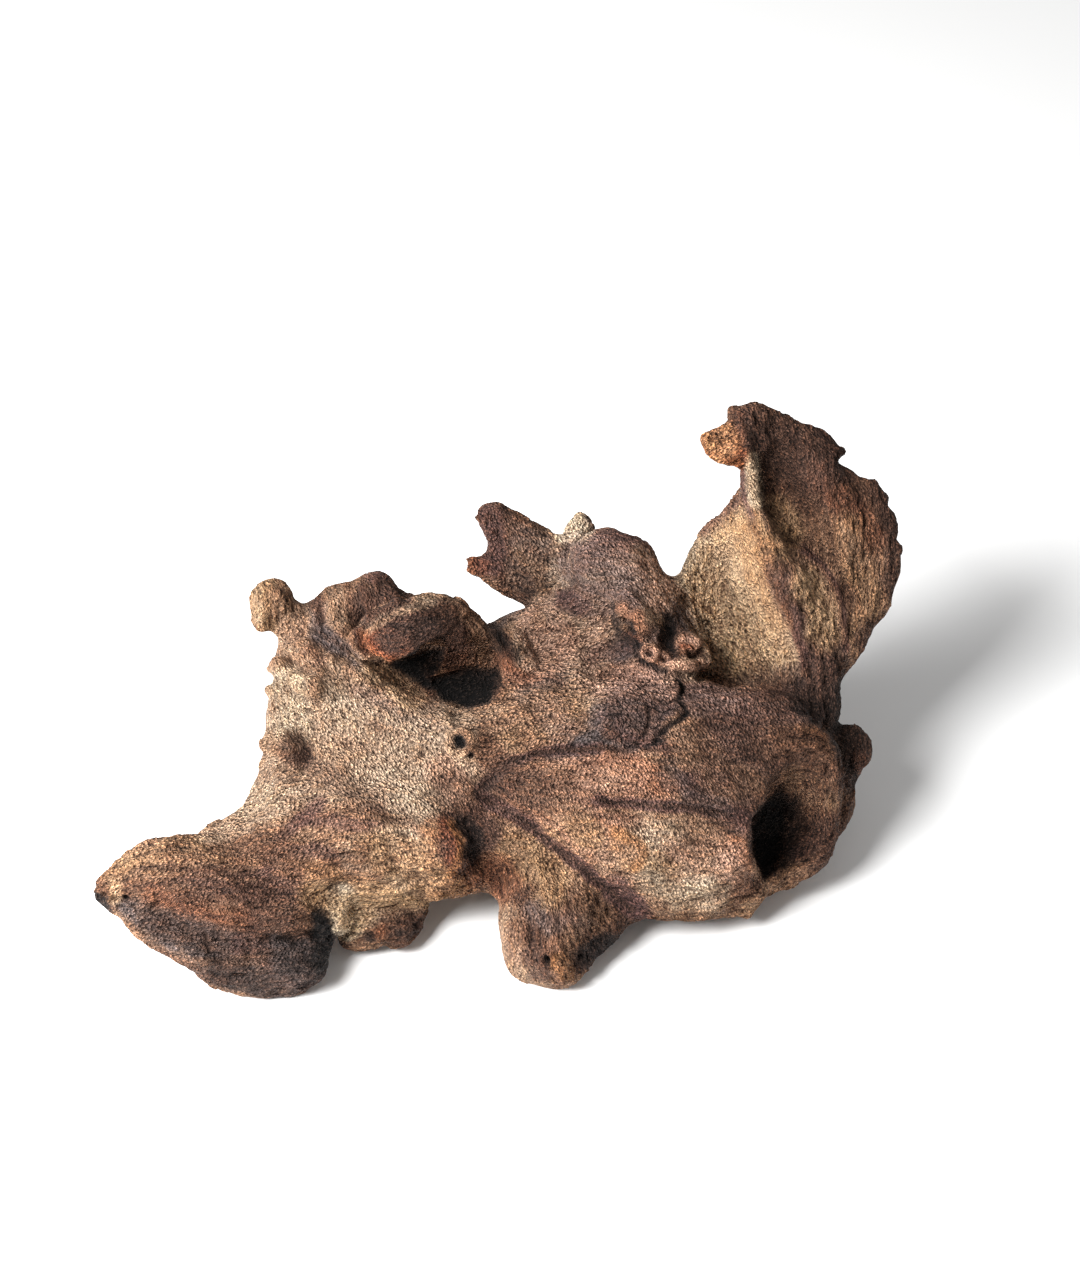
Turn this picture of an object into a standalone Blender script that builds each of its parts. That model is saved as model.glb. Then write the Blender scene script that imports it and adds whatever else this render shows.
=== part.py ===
"""A mopani root: one gnarled piece of dead hardwood root, lying on its feet.

The root is sculpted upright, as it is seen: x across, y away from the viewer, z up, in millimetres.
Limbs, sheets and lumps are strings of overlapping beads, which a voxel remesh joins into one skin.
The finished form is laid back by LAY_BACK onto the floor, and the floor plane trims its feet flat.
"""

import math

import bmesh
import bpy
import numpy as np
from mathutils import Matrix, Vector

MM = 0.001
LAY_BACK = math.radians(40)  # from the sculpting pose to the resting pose, about the x axis
TRIANGLES = 11400
BEAD_SPACING = 2.5
ROUGH_VOXEL = 2.2
FINE_VOXEL = 1.8

# Each limb: depth of its section over its width, then (x, y, z, radius) along its middle.
MASSES = {
    "core": (0.9, [(-58, 42, 114, 24), (-30, 42, 102, 32), (10, 42, 91, 33), (48, 44, 86, 33),
                   (78, 44, 85, 31), (100, 44, 85, 26)]),
    "foot": (0.60, [(-144, -2, 41, 7.5), (-134, -3, 41.5, 13.5), (-120, -4, 39.5, 21),
                    (-100, -3, 33.5, 27.5), (-84, 1, 27, 28), (-77, 3, 24, 21.5)]),
    "belly": (0.7, [(26, 20, 62, 30), (52, 20, 58, 30), (76, 20, 52, 24), (90, 22, 41, 12)]),
    "centre_stub": (0.72, [(36, 19, 46, 18), (28, 20, 54, 30), (24, 12, 38, 25), (19.5, 3, 24, 20.5),
                           (17.5, 0, 17, 14.5)]),
    "dome": (0.80, [(44, 48, 120, 38), (44, 44, 140, 28), (42, 40, 154, 23), (52, 44, 145, 20)]),
    "shoulder": (0.90, [(36, 46, 138, 18), (14, 42, 134, 13), (5, 40, 126, 13)]),
    "right_back": (1.0, [(116, 44, 84, 16), (124, 46, 76, 12), (124, 46, 64, 10)]),
    "bowl_back": (1.0, [(96, 42, 58, 16), (112, 42, 62, 14)]),
    "pit_back": (1.0, [(-40, 42, 124, 18), (0, 46, 122, 18)]),
    "neck": (0.8, [(106, 34, 92, 22), (113, 32, 106, 17), (119, 32, 120, 13)]),
    "fork_arm": (0.70, [(40, 66, 140, 20), (24, 66, 155, 15.5), (10, 66, 164, 16), (6, 64, 169, 12)]),
    "fork_root": (0.8, [(30, 58, 138, 16), (15, 62, 150, 10)]),
    "rear_left": (0.9, [(-6, 50, 98, 32), (-14, 70, 90, 22), (-22, 80, 86, 14), (-26, 86, 84, 11)]),
    "rear_right": (0.9, [(70, 52, 86, 30), (82, 72, 86, 18), (88, 83, 83, 12), (87, 87, 83, 9.5)]),
    "spine": (1.0, [(-66, 48, 92, 14), (-44, 62, 102, 13), (-6, 70, 112, 17), (34, 78, 118, 14),
                    (70, 68, 116, 15), (92, 58, 118, 10)]),
    "rear_arch": (1.0, [(-14, 66, 92, 12), (30, 62, 84, 12), (70, 56, 76, 14)]),
    "rear_knot": (1.0, [(34, 74, 118, 13), (38, 86, 128, 9), (36, 92, 136, 6.5)]),
}
DETAILS = {
    "fork_top_tine": (0.8, [(2, 64, 176, 9), (-4, 62, 182, 6.5)]),
    "fork_low_tine": (0.8, [(2, 64, 161, 9), (-6, 63, 162, 5.5), (-12, 62, 163, 4)]),
    "fork_knob": (0.8, [(24, 60, 164, 9), (30, 58, 174, 6), (32, 57, 178, 5.5)]),
    "upper_left": (0.90, [(-72, 36, 131, 14.5), (-56, 30, 141, 14.5), (-44, 32, 143, 13.5)]),
    "upper_left_tip": (0.9, [(-50, 32, 150, 7), (-46, 30, 156, 4.5)]),
    "lobe": (0.90, [(4, 16, 112, 8), (4, 20, 121, 9), (-2, 22, 129, 10), (-11, 16, 136, 11),
                    (-21, 6, 141, 11), (-34, 0, 139, 11), (-42, -2, 136, 9.5), (-48, -2, 134, 7)]),
    "bowl_rim": (1.0, [(70, 22, 104, 14), (92, 16, 103, 14), (110, 16, 98, 12), (122, 20, 86, 9),
                       (123.5, 26, 70, 6), (121, 30, 55, 6.5), (111, 30, 47, 6.5), (94, 26, 41, 7)]),
    "right_knob": (1.0, [(120, 40, 84, 11), (129, 42, 84, 8), (132, 42, 91, 9), (132.5, 42, 93, 9)]),
    "corner": (1.0, [(84, 26, 40.5, 11.5), (92, 24, 34, 6)]),
    "far_left_knob": (0.9, [(-70, 34, 134, 10), (-82, 28, 142, 8), (-87, 24, 149, 9)]),
    "far_left_heel": (0.9, [(-86, 26, 144, 7), (-90, 24, 138, 4)]),
    "fin_hook": (0.9, [(96, 8, 208, 8), (88, 7, 207, 9), (80.5, 6, 206, 8.5)]),
    "fin_top": (0.9, [(90, 8, 216, 7.5), (97, 9, 218, 6), (106, 12, 216, 4)]),
    "fin_lip": (0.9, [(93, 3, 218, 4.5), (94, 4, 209, 4), (95, 6, 197, 3.5), (97, 8, 182, 3.5),
                      (102, 12, 165, 3.5), (109, 17, 147, 4), (114, 23, 130, 4), (122, 28, 114, 5)]),
    "worm_ring": (1.0, [(-13, -1, 96, 5.5), (-13, -1.5, 98, 5.5)]),
    "fin_spur": (0.9, [(114, 18, 210, 5), (127, 20, 208, 4)]),
    "nub": (1.0, [(-50, 4, 80, 10), (-38, 1, 71, 12), (-27, -2, 64, 12), (-20, -5, 59, 11.5),
                  (-16, -7, 57, 10)]),
    "left_nub": (1.0, [(-78, 20, 92, 9), (-79, 12, 93, 7)]),
    "low_lumps": (1.0, [(-52, 16, 34, 9), (-47, 14, 25, 7), (-41, 14, 28.5, 7), (-37, 16, 24, 7),
                        (-31, 18, 33, 6), (-41, 16, 38, 9)]),
    "knot_top": (1.0, [(47, 18, 146, 6), (52, 17, 137, 6.5), (50, 18, 130, 4.5)]),
    "knot_low": (1.0, [(54, 16, 127, 5), (62, 16, 125, 5.5), (70, 17, 121, 4.5)]),
    "knot_right": (1.0, [(66, 24, 134, 4), (72, 25, 132, 5), (77, 26, 126, 4.5)]),
    "rear_ridge": (1.0, [(-58, 62, 118, 8), (-30, 74, 128, 8), (0, 84, 124, 8), (26, 90, 110, 8)]),
    "rear_burl": (1.0, [(66, 76, 100, 13), (70, 82, 98, 10)]),
    "fin_root": (1.0, [(104, 52, 96, 14), (108, 50, 118, 10), (114, 44, 138, 7), (122, 40, 158, 5)]),
    "disc_root": (1.0, [(84, 60, 108, 12), (80, 58, 130, 7), (78, 54, 150, 5)]),
    "leg_back": (1.0, [(-62, 40, 84, 16), (-80, 24, 64, 13), (-98, 10, 46, 12)]),
}

# Each sheet: rows from the bottom up, and in each row (x, y, z, radius) from left to right.
SHEETS = {
    "body": [
        [(-104, 10, 56, 10), (-86, 0, 48, 14), (-64, 3, 51, 15), (-24, 8, 49, 14), (8, 14, 57, 14),
         (48, 14, 43, 14.5), (76, 17, 43, 14.5), (88, 22, 42, 11)],
        [(-87, 20, 69, 11), (-74, 8, 66, 16), (-50, 2, 64, 17), (-22, 6, 64, 17), (12, 9, 68, 18),
         (48, 7, 58, 18), (76, 9, 58, 17), (90, 15, 56, 10)],
        [(-76, 26, 90, 13), (-62, 14, 84, 17), (-42, 9, 78, 18), (-14, 9, 80, 18), (18, 6, 82, 18),
         (48, 4, 74, 18), (76, 8, 70, 18), (90, 12, 68, 12)],
        [(-77, 32, 108, 12), (-62, 20, 104, 18), (-40, 15, 94, 18), (-12, 12, 93, 17),
         (20, 10, 96, 18), (50, 9, 90, 18), (78, 12, 86, 18), (96, 14, 84, 14)],
        [(-74, 34, 124, 11), (-60, 26, 120, 16), (-46, 21, 112, 14), (-8, 15, 100, 10),
         (26, 14, 108, 14), (52, 14, 104, 14), (80, 15, 103, 14), (100, 16, 100, 12)],
        [(-70, 36, 130, 10), (-58, 30, 132, 12), (-50, 28, 122, 10), (-6, 24, 103, 8),
         (28, 26, 116, 12), (52, 26, 110, 10), (80, 24, 109, 10), (100, 22, 105, 10)],
    ],
    "fin": [
        [(78, 46, 112, 4), (92, 48, 112, 6), (104, 42, 112, 8), (113, 34, 112, 11), (117, 34, 112, 11),
         (121, 36, 112, 8), (124, 38, 112, 6)],
        [(72, 48, 130, 5), (86, 48, 130, 5), (102, 40, 130, 6), (112, 30, 130, 7), (120, 34, 130, 7),
         (128, 34, 130, 7), (133, 36, 130, 5)],
        [(73, 46, 147, 4.5), (84, 46, 146, 4.5), (97, 38, 145, 5), (108, 24, 145, 5.5),
         (122, 31, 145, 6.5), (135, 31, 145, 7), (143, 34, 146, 5)],
        [(73, 43, 164, 4.5), (83, 42, 165, 4.5), (92, 33, 164, 4.5), (101, 18, 163, 5),
         (116, 28, 163, 6), (136, 26, 163, 6), (147.5, 30, 164, 5)],
        [(84, 36, 176, 4.5), (88, 34, 179, 4.5), (91, 27, 181, 4.5), (95, 14, 182, 4.5),
         (106, 27, 182, 6), (130, 22, 182, 6), (145, 28, 180, 5)],
        [(94, 22, 195, 4.5), (94, 20, 197, 4.5), (94, 16, 198, 4.5), (94, 11, 198, 4.5),
         (105, 25, 198, 6), (122, 19, 198, 6), (136, 24, 193, 5)],
        [(91, 14, 208, 5), (92, 12, 209, 5), (93, 10, 210, 5), (93, 8, 211, 5), (104, 19, 210, 6),
         (116, 17, 208, 6), (122, 20, 206.5, 5)],
        [(90.5, 10, 215.5, 5), (91.5, 9, 216, 5), (93, 8, 216.5, 5), (95, 7, 217, 5),
         (101, 12, 216, 5), (107, 14, 213, 5), (112, 16, 211, 5)],
    ],
}

# Hollows cut into the skin, in the form of limbs.
HOLLOWS = {
    "pit": (2.2, [(-36, 9, 121, 6), (-26, 10, 120, 9), (-14, 12, 120, 11.5), (-7, 14, 118, 10),
                  (-6, 16, 126, 8)]),
    "pit_roof": (1.2, [(-36, 16, 126, 4), (-24, 18, 128, 7), (-13, 20, 127, 8)]),
    "bowl": (1.6, [(112, 2, 82, 8), (109, 5, 71, 13), (106, 8, 58, 13), (101, 8, 48, 9)]),
    "rear_hollow": (1.2, [(28, 96, 96, 8), (44, 92, 92, 11), (54, 90, 84, 7)]),
    "rear_rot": (1.4, [(-52, 80, 104, 5), (-44, 78, 96, 7), (-40, 74, 86, 5)]),
}

# Relief on the skin: side it faces (-1 front, 1 rear), height, half width, then (x, z) along it.
STROKES = [
    (-1, -5.5, 5, [(-58, 148), (-50, 134), (-42, 124), (-30, 115), (-18, 111)]),
    (-1, 3.0, 6, [(-72, 138), (-62, 134), (-52, 122)]),
    (-1, 3.0, 5, [(-38, 150), (-34, 144)]),
    (-1, -4.0, 5, [(3, 140), (0, 132), (-2, 124)]),
    (-1, -1.8, 5, [(-4, 76), (10, 86), (23, 93), (40, 95), (52, 95)]),
    (-1, -2.2, 5, [(-4, 76), (12, 63), (26, 48), (37, 41), (50, 33)]),
    (-1, 1.5, 9, [(8, 76), (30, 80), (56, 84)]),
    (-1, -6.0, 8, [(-5, 62), (-5, 50)]),
    (-1, -3.0, 9, [(-60, 104), (-44, 92), (-26, 88), (-8, 86)]),
    (-1, 2.5, 7, [(-46, 106), (-30, 99), (-8, 98), (8, 104)]),
    (-1, 4.0, 5, [(-69, 128), (-68, 127)]),
    (-1, 3.0, 5, [(-67, 115), (-64, 114)]),
    (-1, 3.0, 5, [(-82, 122), (-84, 112)]),
    (-1, 3.0, 7, [(-140, 49), (-120, 52), (-100, 52), (-84, 58)]),
    (-1, -3.5, 6, [(-134, 36), (-112, 29), (-92, 25), (-66, 24)]),
    (-1, 3.0, 5, [(-116, 19), (-98, 12), (-80, 11), (-66, 15)]),
    (-1, -2.5, 6, [(-104, 60), (-90, 48), (-74, 42), (-60, 42)]),
    (-1, 2.5, 6, [(-56, 60), (-66, 48), (-74, 34)]),
    (-1, 3.5, 5, [(22, 14), (24, 12)]),
    (-1, -3.5, 7, [(38, 34), (31, 18)]),
    (-1, 2.2, 9, [(38, 107), (52, 108), (64, 105)]),
    (-1, -3.0, 5, [(26, 120), (44, 119), (60, 117), (78, 119)]),
    (-1, -3.0, 6, [(78, 98), (86, 88), (89, 76)]),
    (-1, 3.0, 5, [(85, 80), (87, 66), (88, 52)]),
    (-1, -3.5, 6, [(24, 154), (26, 142), (34, 130)]),
    (-1, 3.0, 5, [(48, 166), (54, 152), (60, 140)]),
    (-1, 2.5, 6, [(14, 144), (26, 134), (30, 124)]),
    (-1, -3.0, 5, [(101, 212), (101, 196), (103, 180), (109, 166)]),
    (-1, 3.0, 5, [(101, 178), (110, 160), (118, 140), (124, 122)]),
    (-1, -2.0, 8, [(88, 162), (86, 140)]),
    (-1, 3.0, 6, [(116, 200), (126, 182), (130, 160)]),
    (-1, -2.5, 6, [(136, 190), (139, 170), (134, 150)]),
    (1, 4.0, 6, [(-70, 110), (-40, 116), (-10, 128), (20, 136)]),
    (1, -4.5, 6, [(-66, 100), (-40, 106), (-14, 104), (8, 96)]),
    (1, 4.0, 6, [(10, 80), (30, 98), (56, 106), (86, 108)]),
    (1, -4.0, 5, [(30, 120), (52, 112), (74, 112), (96, 104)]),
    (1, 3.5, 5, [(100, 100), (112, 124), (122, 150), (126, 176)]),
    (1, -3.5, 6, [(100, 128), (106, 150), (112, 172)]),
    (1, 3.0, 5, [(-84, 60), (-74, 80), (-66, 100)]),
    (1, -3.5, 5, [(-100, 48), (-86, 66), (-78, 84)]),
]
# Unevenness all over: (size of the lumps, height).
UNEVEN = [(30, 7), (12, 3.5)]


def smooth_path(points, spacing):
    """Points of a Catmull-Rom curve through the given ones, closer together than spacing."""
    points = np.array(points, float)
    ends = np.vstack([2 * points[0] - points[1], points, 2 * points[-1] - points[-2]])
    made = []
    for a, b, c, d in zip(ends, ends[1:], ends[2:], ends[3:]):
        steps = max(2, math.ceil(np.linalg.norm((c - b)[:3]) / spacing))
        for t in np.arange(steps) / steps:
            made.append(0.5 * (2 * b + (c - a) * t + (2 * a - 5 * b + 4 * c - d) * t**2
                               + (3 * b - a - 3 * c + d) * t**3))
    made.append(points[-1])
    return np.array(made)


def limb_beads(limbs):
    return [(x, y, z, r, r * depth, r)
            for depth, points in limbs.values()
            for x, y, z, r in smooth_path(points, BEAD_SPACING)]


def even_steps(points, count):
    """The curve through the points, at count places evenly spaced by the points' own numbering."""
    points = np.array(points, float)
    ends = np.vstack([2 * points[0] - points[1], points, 2 * points[-1] - points[-2]])
    made = []
    for place in np.linspace(0, len(points) - 1, count):
        i = min(int(place), len(points) - 2)
        t = place - i
        a, b, c, d = ends[i:i + 4]
        made.append(0.5 * (2 * b + (c - a) * t + (2 * a - 5 * b + 4 * c - d) * t**2
                           + (3 * b - a - 3 * c + d) * t**3))
    return np.array(made)


def sheet_beads(rows):
    across = np.array([even_steps(row, 36) for row in rows])
    return [(x, y, z, r, r, r)
            for column in across.transpose(1, 0, 2)
            for x, y, z, r in even_steps(column, 48)]


def clear_scene():
    for obj in list(bpy.data.objects):
        bpy.data.objects.remove(obj)


def stamp(name, beads):
    """One mesh with a ball at each (x, y, z, radius x, radius y, radius z)."""
    bm = bmesh.new()
    bmesh.ops.create_icosphere(bm, subdivisions=2, radius=1)
    ball = np.array([v.co for v in bm.verts])
    faces = np.array([[v.index for v in f.verts] for f in bm.faces])
    bm.free()
    beads = np.array(beads, float)
    corners = ball[None] * beads[:, None, 3:] + beads[:, None, :3]
    numbers = faces[None] + len(ball) * np.arange(len(beads))[:, None, None]
    mesh = bpy.data.meshes.new(name)
    mesh.from_pydata((corners * MM).reshape(-1, 3).tolist(), [], numbers.reshape(-1, 3).tolist())
    obj = bpy.data.objects.new(name, mesh)
    bpy.context.scene.collection.objects.link(obj)
    return obj


def applied(obj):
    """Puts the object's evaluated mesh in place of its own, and drops its modifiers."""
    graph = bpy.context.evaluated_depsgraph_get()
    mesh = bpy.data.meshes.new_from_object(obj.evaluated_get(graph))
    obj.modifiers.clear()
    obj.data = mesh
    return obj


def skin(obj, voxel, rounds):
    remesh = obj.modifiers.new("skin", "REMESH")
    remesh.mode = "VOXEL"
    remesh.voxel_size = voxel * MM
    if rounds:
        smooth = obj.modifiers.new("blend", "SMOOTH")
        smooth.factor = 0.5
        smooth.iterations = rounds
    return applied(obj)


def add(obj, other):
    """Joins the other mesh to the object as loose shells, and makes them one skin."""
    bm = bmesh.new()
    bm.from_mesh(obj.data)
    bm.from_mesh(other.data)
    bm.to_mesh(obj.data)
    bm.free()
    bpy.data.objects.remove(other)
    skin(obj, FINE_VOXEL, 2)


def cut(obj, cutter):
    boolean = obj.modifiers.new("cut", "BOOLEAN")
    boolean.operation = "DIFFERENCE"
    boolean.solver = "EXACT"
    boolean.object = cutter
    applied(obj)
    bpy.data.objects.remove(cutter)


def nearest(points, path):
    """How far each point is from the path, both of them flat."""
    found = np.full(len(points), np.inf)
    for a, b in zip(path, path[1:]):
        along = np.clip((points - a) @ (b - a) / max((b - a) @ (b - a), 1e-9), 0, 1)
        found = np.minimum(found, np.linalg.norm(points - a - along[:, None] * (b - a), axis=1))
    return found


def relief(obj, strokes):
    """Raises ridges and sinks grooves where the skin faces the front or the rear."""
    mesh = obj.data
    count = len(mesh.vertices)
    points = np.empty(count * 3)
    mesh.vertices.foreach_get("co", points)
    points = points.reshape(-1, 3)
    normals = np.empty(count * 3)
    mesh.vertices.foreach_get("normal", normals)
    normals = normals.reshape(-1, 3)
    lift = np.zeros(count)
    for side, height, width, places in strokes:
        path = smooth_path([(x, 0, z) for x, z in places], BEAD_SPACING)[:, [0, 2]]
        away = nearest(points[:, [0, 2]] / MM, path) / width
        faces_it = np.clip((side * normals[:, 1] - 0.1) / 0.4, 0, 1)
        lift += height * np.exp(-away**2) * faces_it
    points += normals * lift[:, None] * MM
    mesh.vertices.foreach_set("co", points.ravel())
    mesh.update()


def uneven(obj, size, height):
    lumps = bpy.data.textures.new("lumps", "CLOUDS")
    lumps.noise_scale = size * MM
    lumps.noise_depth = 1
    displace = obj.modifiers.new("uneven", "DISPLACE")
    displace.texture = lumps
    displace.texture_coords = "LOCAL"
    displace.mid_level = 0.5
    displace.strength = height * MM
    applied(obj)


def lay_back(obj):
    obj.data.transform(Matrix.Rotation(-LAY_BACK, 4, "X"))


def trim_feet(obj):
    """Cuts off what would be below the floor, which leaves small flat spots to stand on."""
    corners = [(x, y, z) for x in (-0.4, 0.4) for y in (-0.4, 0.4) for z in (-0.2, 0)]
    bm = bmesh.new()
    for corner in corners:
        bm.verts.new(corner)
    bmesh.ops.convex_hull(bm, input=bm.verts)
    bmesh.ops.recalc_face_normals(bm, faces=bm.faces)
    mesh = bpy.data.meshes.new("floor")
    bm.to_mesh(mesh)
    bm.free()
    floor = bpy.data.objects.new("floor", mesh)
    bpy.context.scene.collection.objects.link(floor)
    cut(obj, floor)


def thin_out(obj):
    """Fewer triangles, most of them kept where the skin bends most."""
    decimate = obj.modifiers.new("thin out", "DECIMATE")
    decimate.use_collapse_triangulate = True
    obj.data.calc_loop_triangles()
    decimate.ratio = TRIANGLES / len(obj.data.loop_triangles)
    applied(obj)


def recentre(obj):
    """Puts the middle of the footprint at x = y = 0, and returns the move in metres."""
    corners = np.array([v.co for v in obj.data.vertices])
    low, high = corners.min(axis=0), corners.max(axis=0)
    move = Vector((-(low[0] + high[0]) / 2, -(low[1] + high[1]) / 2, -low[2]))
    obj.data.transform(Matrix.Translation(move))
    return move


def dead_wood():
    material = bpy.data.materials.new("weathered root wood")
    material.use_nodes = True
    shader = material.node_tree.nodes["Principled BSDF"]
    shader.inputs["Base Color"].default_value = (0.27, 0.15, 0.085, 1)
    shader.inputs["Roughness"].default_value = 0.85
    return material


def main():
    clear_scene()
    beads = limb_beads(MASSES)
    for rows in SHEETS.values():
        beads += sheet_beads(rows)
    root = skin(stamp("mopani_root", beads), ROUGH_VOXEL, 5)
    add(root, stamp("details", limb_beads(DETAILS)))
    cut(root, skin(stamp("hollows", limb_beads(HOLLOWS)), ROUGH_VOXEL, 2))
    skin(root, FINE_VOXEL, 2)
    relief(root, STROKES)
    for size, height in UNEVEN:
        uneven(root, size, height)
    skin(root, FINE_VOXEL, 1)
    lay_back(root)
    thin_out(root)
    trim_feet(root)
    moved = recentre(root)
    root.data.name = "mopani_root"
    root.data.materials.clear()
    root.data.materials.append(dead_wood())
    root.data.shade_smooth()
    bpy.context.scene.collection.objects.unlink(root)
    collection = bpy.data.collections.new("mopani_root")
    bpy.context.scene.collection.children.link(collection)
    collection.objects.link(root)
    return moved


MOVED = main()
print("moved by", MOVED[:])
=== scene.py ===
"""The weathered skin of a mopani root: its carving, its colours and its sandblasted wood.

Marks are placed on the root as it is seen from the front. A place in that view is (across, down), and
one step of it is VIEW_STEP on a plane through the middle of the root.
"""

import itertools
import math

import bmesh
import bpy
import numpy as np
from mathutils import Matrix, Vector
from mathutils.bvhtree import BVHTree


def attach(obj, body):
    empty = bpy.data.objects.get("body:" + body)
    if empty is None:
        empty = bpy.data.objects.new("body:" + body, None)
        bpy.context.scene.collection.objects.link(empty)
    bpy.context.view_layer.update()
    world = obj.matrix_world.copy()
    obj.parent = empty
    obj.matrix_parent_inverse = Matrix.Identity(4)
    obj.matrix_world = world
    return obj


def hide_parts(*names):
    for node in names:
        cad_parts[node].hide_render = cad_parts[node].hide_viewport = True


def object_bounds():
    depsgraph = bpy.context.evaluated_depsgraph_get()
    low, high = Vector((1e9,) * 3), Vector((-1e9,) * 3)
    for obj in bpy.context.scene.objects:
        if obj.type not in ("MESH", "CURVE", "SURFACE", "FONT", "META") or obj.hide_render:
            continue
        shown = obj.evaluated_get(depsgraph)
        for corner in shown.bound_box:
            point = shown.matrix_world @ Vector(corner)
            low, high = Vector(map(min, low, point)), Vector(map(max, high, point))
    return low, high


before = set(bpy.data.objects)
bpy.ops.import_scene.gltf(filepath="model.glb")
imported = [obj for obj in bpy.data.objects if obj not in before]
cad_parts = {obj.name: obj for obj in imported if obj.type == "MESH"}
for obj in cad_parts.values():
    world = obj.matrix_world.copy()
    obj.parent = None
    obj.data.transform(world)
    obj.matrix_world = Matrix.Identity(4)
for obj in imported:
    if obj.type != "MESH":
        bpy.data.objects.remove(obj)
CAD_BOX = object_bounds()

MM = 0.001

# The camera looks down on the root at LEAN, from CAMERA_AWAY. The root is drawn upright, laid back by LEAN and
# moved by MOVED. All of these are in millimetres.
LEAN = math.radians(40)
MOVED = np.array((-1.497, -82.801, 0.0))
CAMERA_AWAY = 1200
VIEW_MIDDLE = np.array((15.22, 10.0, 133.3))
VIEW_STEP = 0.18565
VIEW_START = np.array((838.0, 1240.0))
FRAME_HEIGHT = 476.0
SENSOR = 36

# The skin's cells in millimetres, its triangles in the end, and how much more the rear is thinned.
ROUGH_VOXEL = 1.5
SKIN_VOXEL = 0.88
TRIANGLES = 197000
REAR_THINNING = 4.0
SEED = 11

# What the carving adds over the whole skin, in millimetres: lumps, broad and fine streaks, swell of the rear.
LUMPS = 0.6
BROAD_STREAKS = 0.34
FINE_STREAKS = 0.40
REAR_SWELL = 1.5
SUNK = 0.25

# The lights: name, place in metres, power in watts, size in metres. Then what they are aimed at, and how strong
# the light of the room is below and above.
LIGHTS = [("window", (-0.98, -0.31, 0.40), 24, 0.35), ("softbox", (-0.50, -0.59, 0.84), 23, 0.4)]
LIGHTS_AIM = (0, 0, 0.06)
ROOM_LIGHT = (0.30, 0.42)

# The sandblasted grain: pits to a metre, how far it is drawn out along the grain, its depth in metres.
PIT_SCALE = 1100.0
GRAIN_LENGTH = (1.5, 1.0, 1.0)
GRAIN_DEPTH = 0.0042

# What the pattern of the wood does to the paint, as linear light, with painted light among it. The painted highlight
# of the grain's crests is multiplied and added, worn ridges are a soft light, and the others multiply. The pit tint
# is the pits' own dark with painted shade in them, and the hollow tint is painted shade in the hollows.
BLOTCH_TINT = (0.30, 0.17, 0.10, 1)
STREAK_TINT = (0.42, 0.30, 0.24, 1)
WORN_TINT = (0.62, 0.46, 0.33, 1)
# Painted highlight on the crests of the grain, standing in for the light on the relief.
CREST_HIGHLIGHT_TINT = (2.0, 1.93, 1.86, 1)
CREST_HIGHLIGHT_GLOW = (0.032, 0.023, 0.018, 1)
# The pits' own dark, with painted shade in them.
PIT_TINT = (0.20, 0.14, 0.11, 1)
SPLIT_TINT = (0.08, 0.06, 0.05, 1)
# Painted shade in the hollows of the skin.
HOLLOW_SHADE_TINT = (0.25, 0.17, 0.13, 1)
FLOOR_TONES = ((0.90, 0.90, 0.895, 1), (0.93, 0.93, 0.925, 1))

# Wood colours, as a painter would name them, in display values. Soot_and_shade and black also serve as painted shade
# in holes, hollows, creases and on shadow sides.
COLOURS = {
    "pale": (232, 214, 188),
    "buff": (228, 190, 150),
    "blush": (212, 168, 146),
    "cream": (206, 186, 160),
    "sand": (184, 158, 134),
    "straw": (184, 148, 112),
    "tan": (166, 130, 104),
    "salmon": (170, 126, 103),
    "ochre": (176, 124, 80),
    "orange": (170, 100, 62),
    "rust": (136, 76, 50),
    "brown": (120, 86, 66),
    "umber": (88, 62, 50),
    "plum": (104, 74, 70),
    "mauve": (140, 114, 106),
    "slate": (94, 84, 84),
    "soot_and_shade": (44, 32, 28),
    "black": (18, 13, 12),
}

# The way the grain runs: (across, down, angle). An angle of 0 runs across, 90 straight up.
GRAIN = [
    (450, 620, -50), (560, 740, -50), (690, 800, -45), (350, 820, 45), (260, 890, 30), (450, 900, 30),
    (200, 960, 8), (300, 1060, -15), (100, 1000, 25), (300, 1180, -10), (650, 920, -25),
    (600, 1030, -10), (760, 830, -50), (850, 700, 20), (900, 640, 25), (1000, 790, -10),
    (1000, 900, -40), (1150, 960, -40), (1260, 1020, -15), (1300, 720, -35), (1180, 670, -20),
    (950, 520, 30), (1060, 360, -15), (850, 330, -45), (1330, 400, -68), (1280, 520, -55),
    (1450, 200, -66), (1400, 90, -50), (1560, 330, -75), (1580, 460, -105), (1490, 620, 88),
    (1470, 480, -62), (1440, 715, -10), (1525, 850, 80), (1470, 960, 45), (920, 1080, -80),
    (1000, 1140, -60), (700, 460, 15), (820, 560, -70), (530, 440, -70), (440, 500, -60),
    (370, 440, -70), (1280, 120, 10), (790, 620, 0),
]

# The three ways the fine grain of the material runs, in degrees.
GRAIN_TURNS = (-50, 25, -85)

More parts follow.
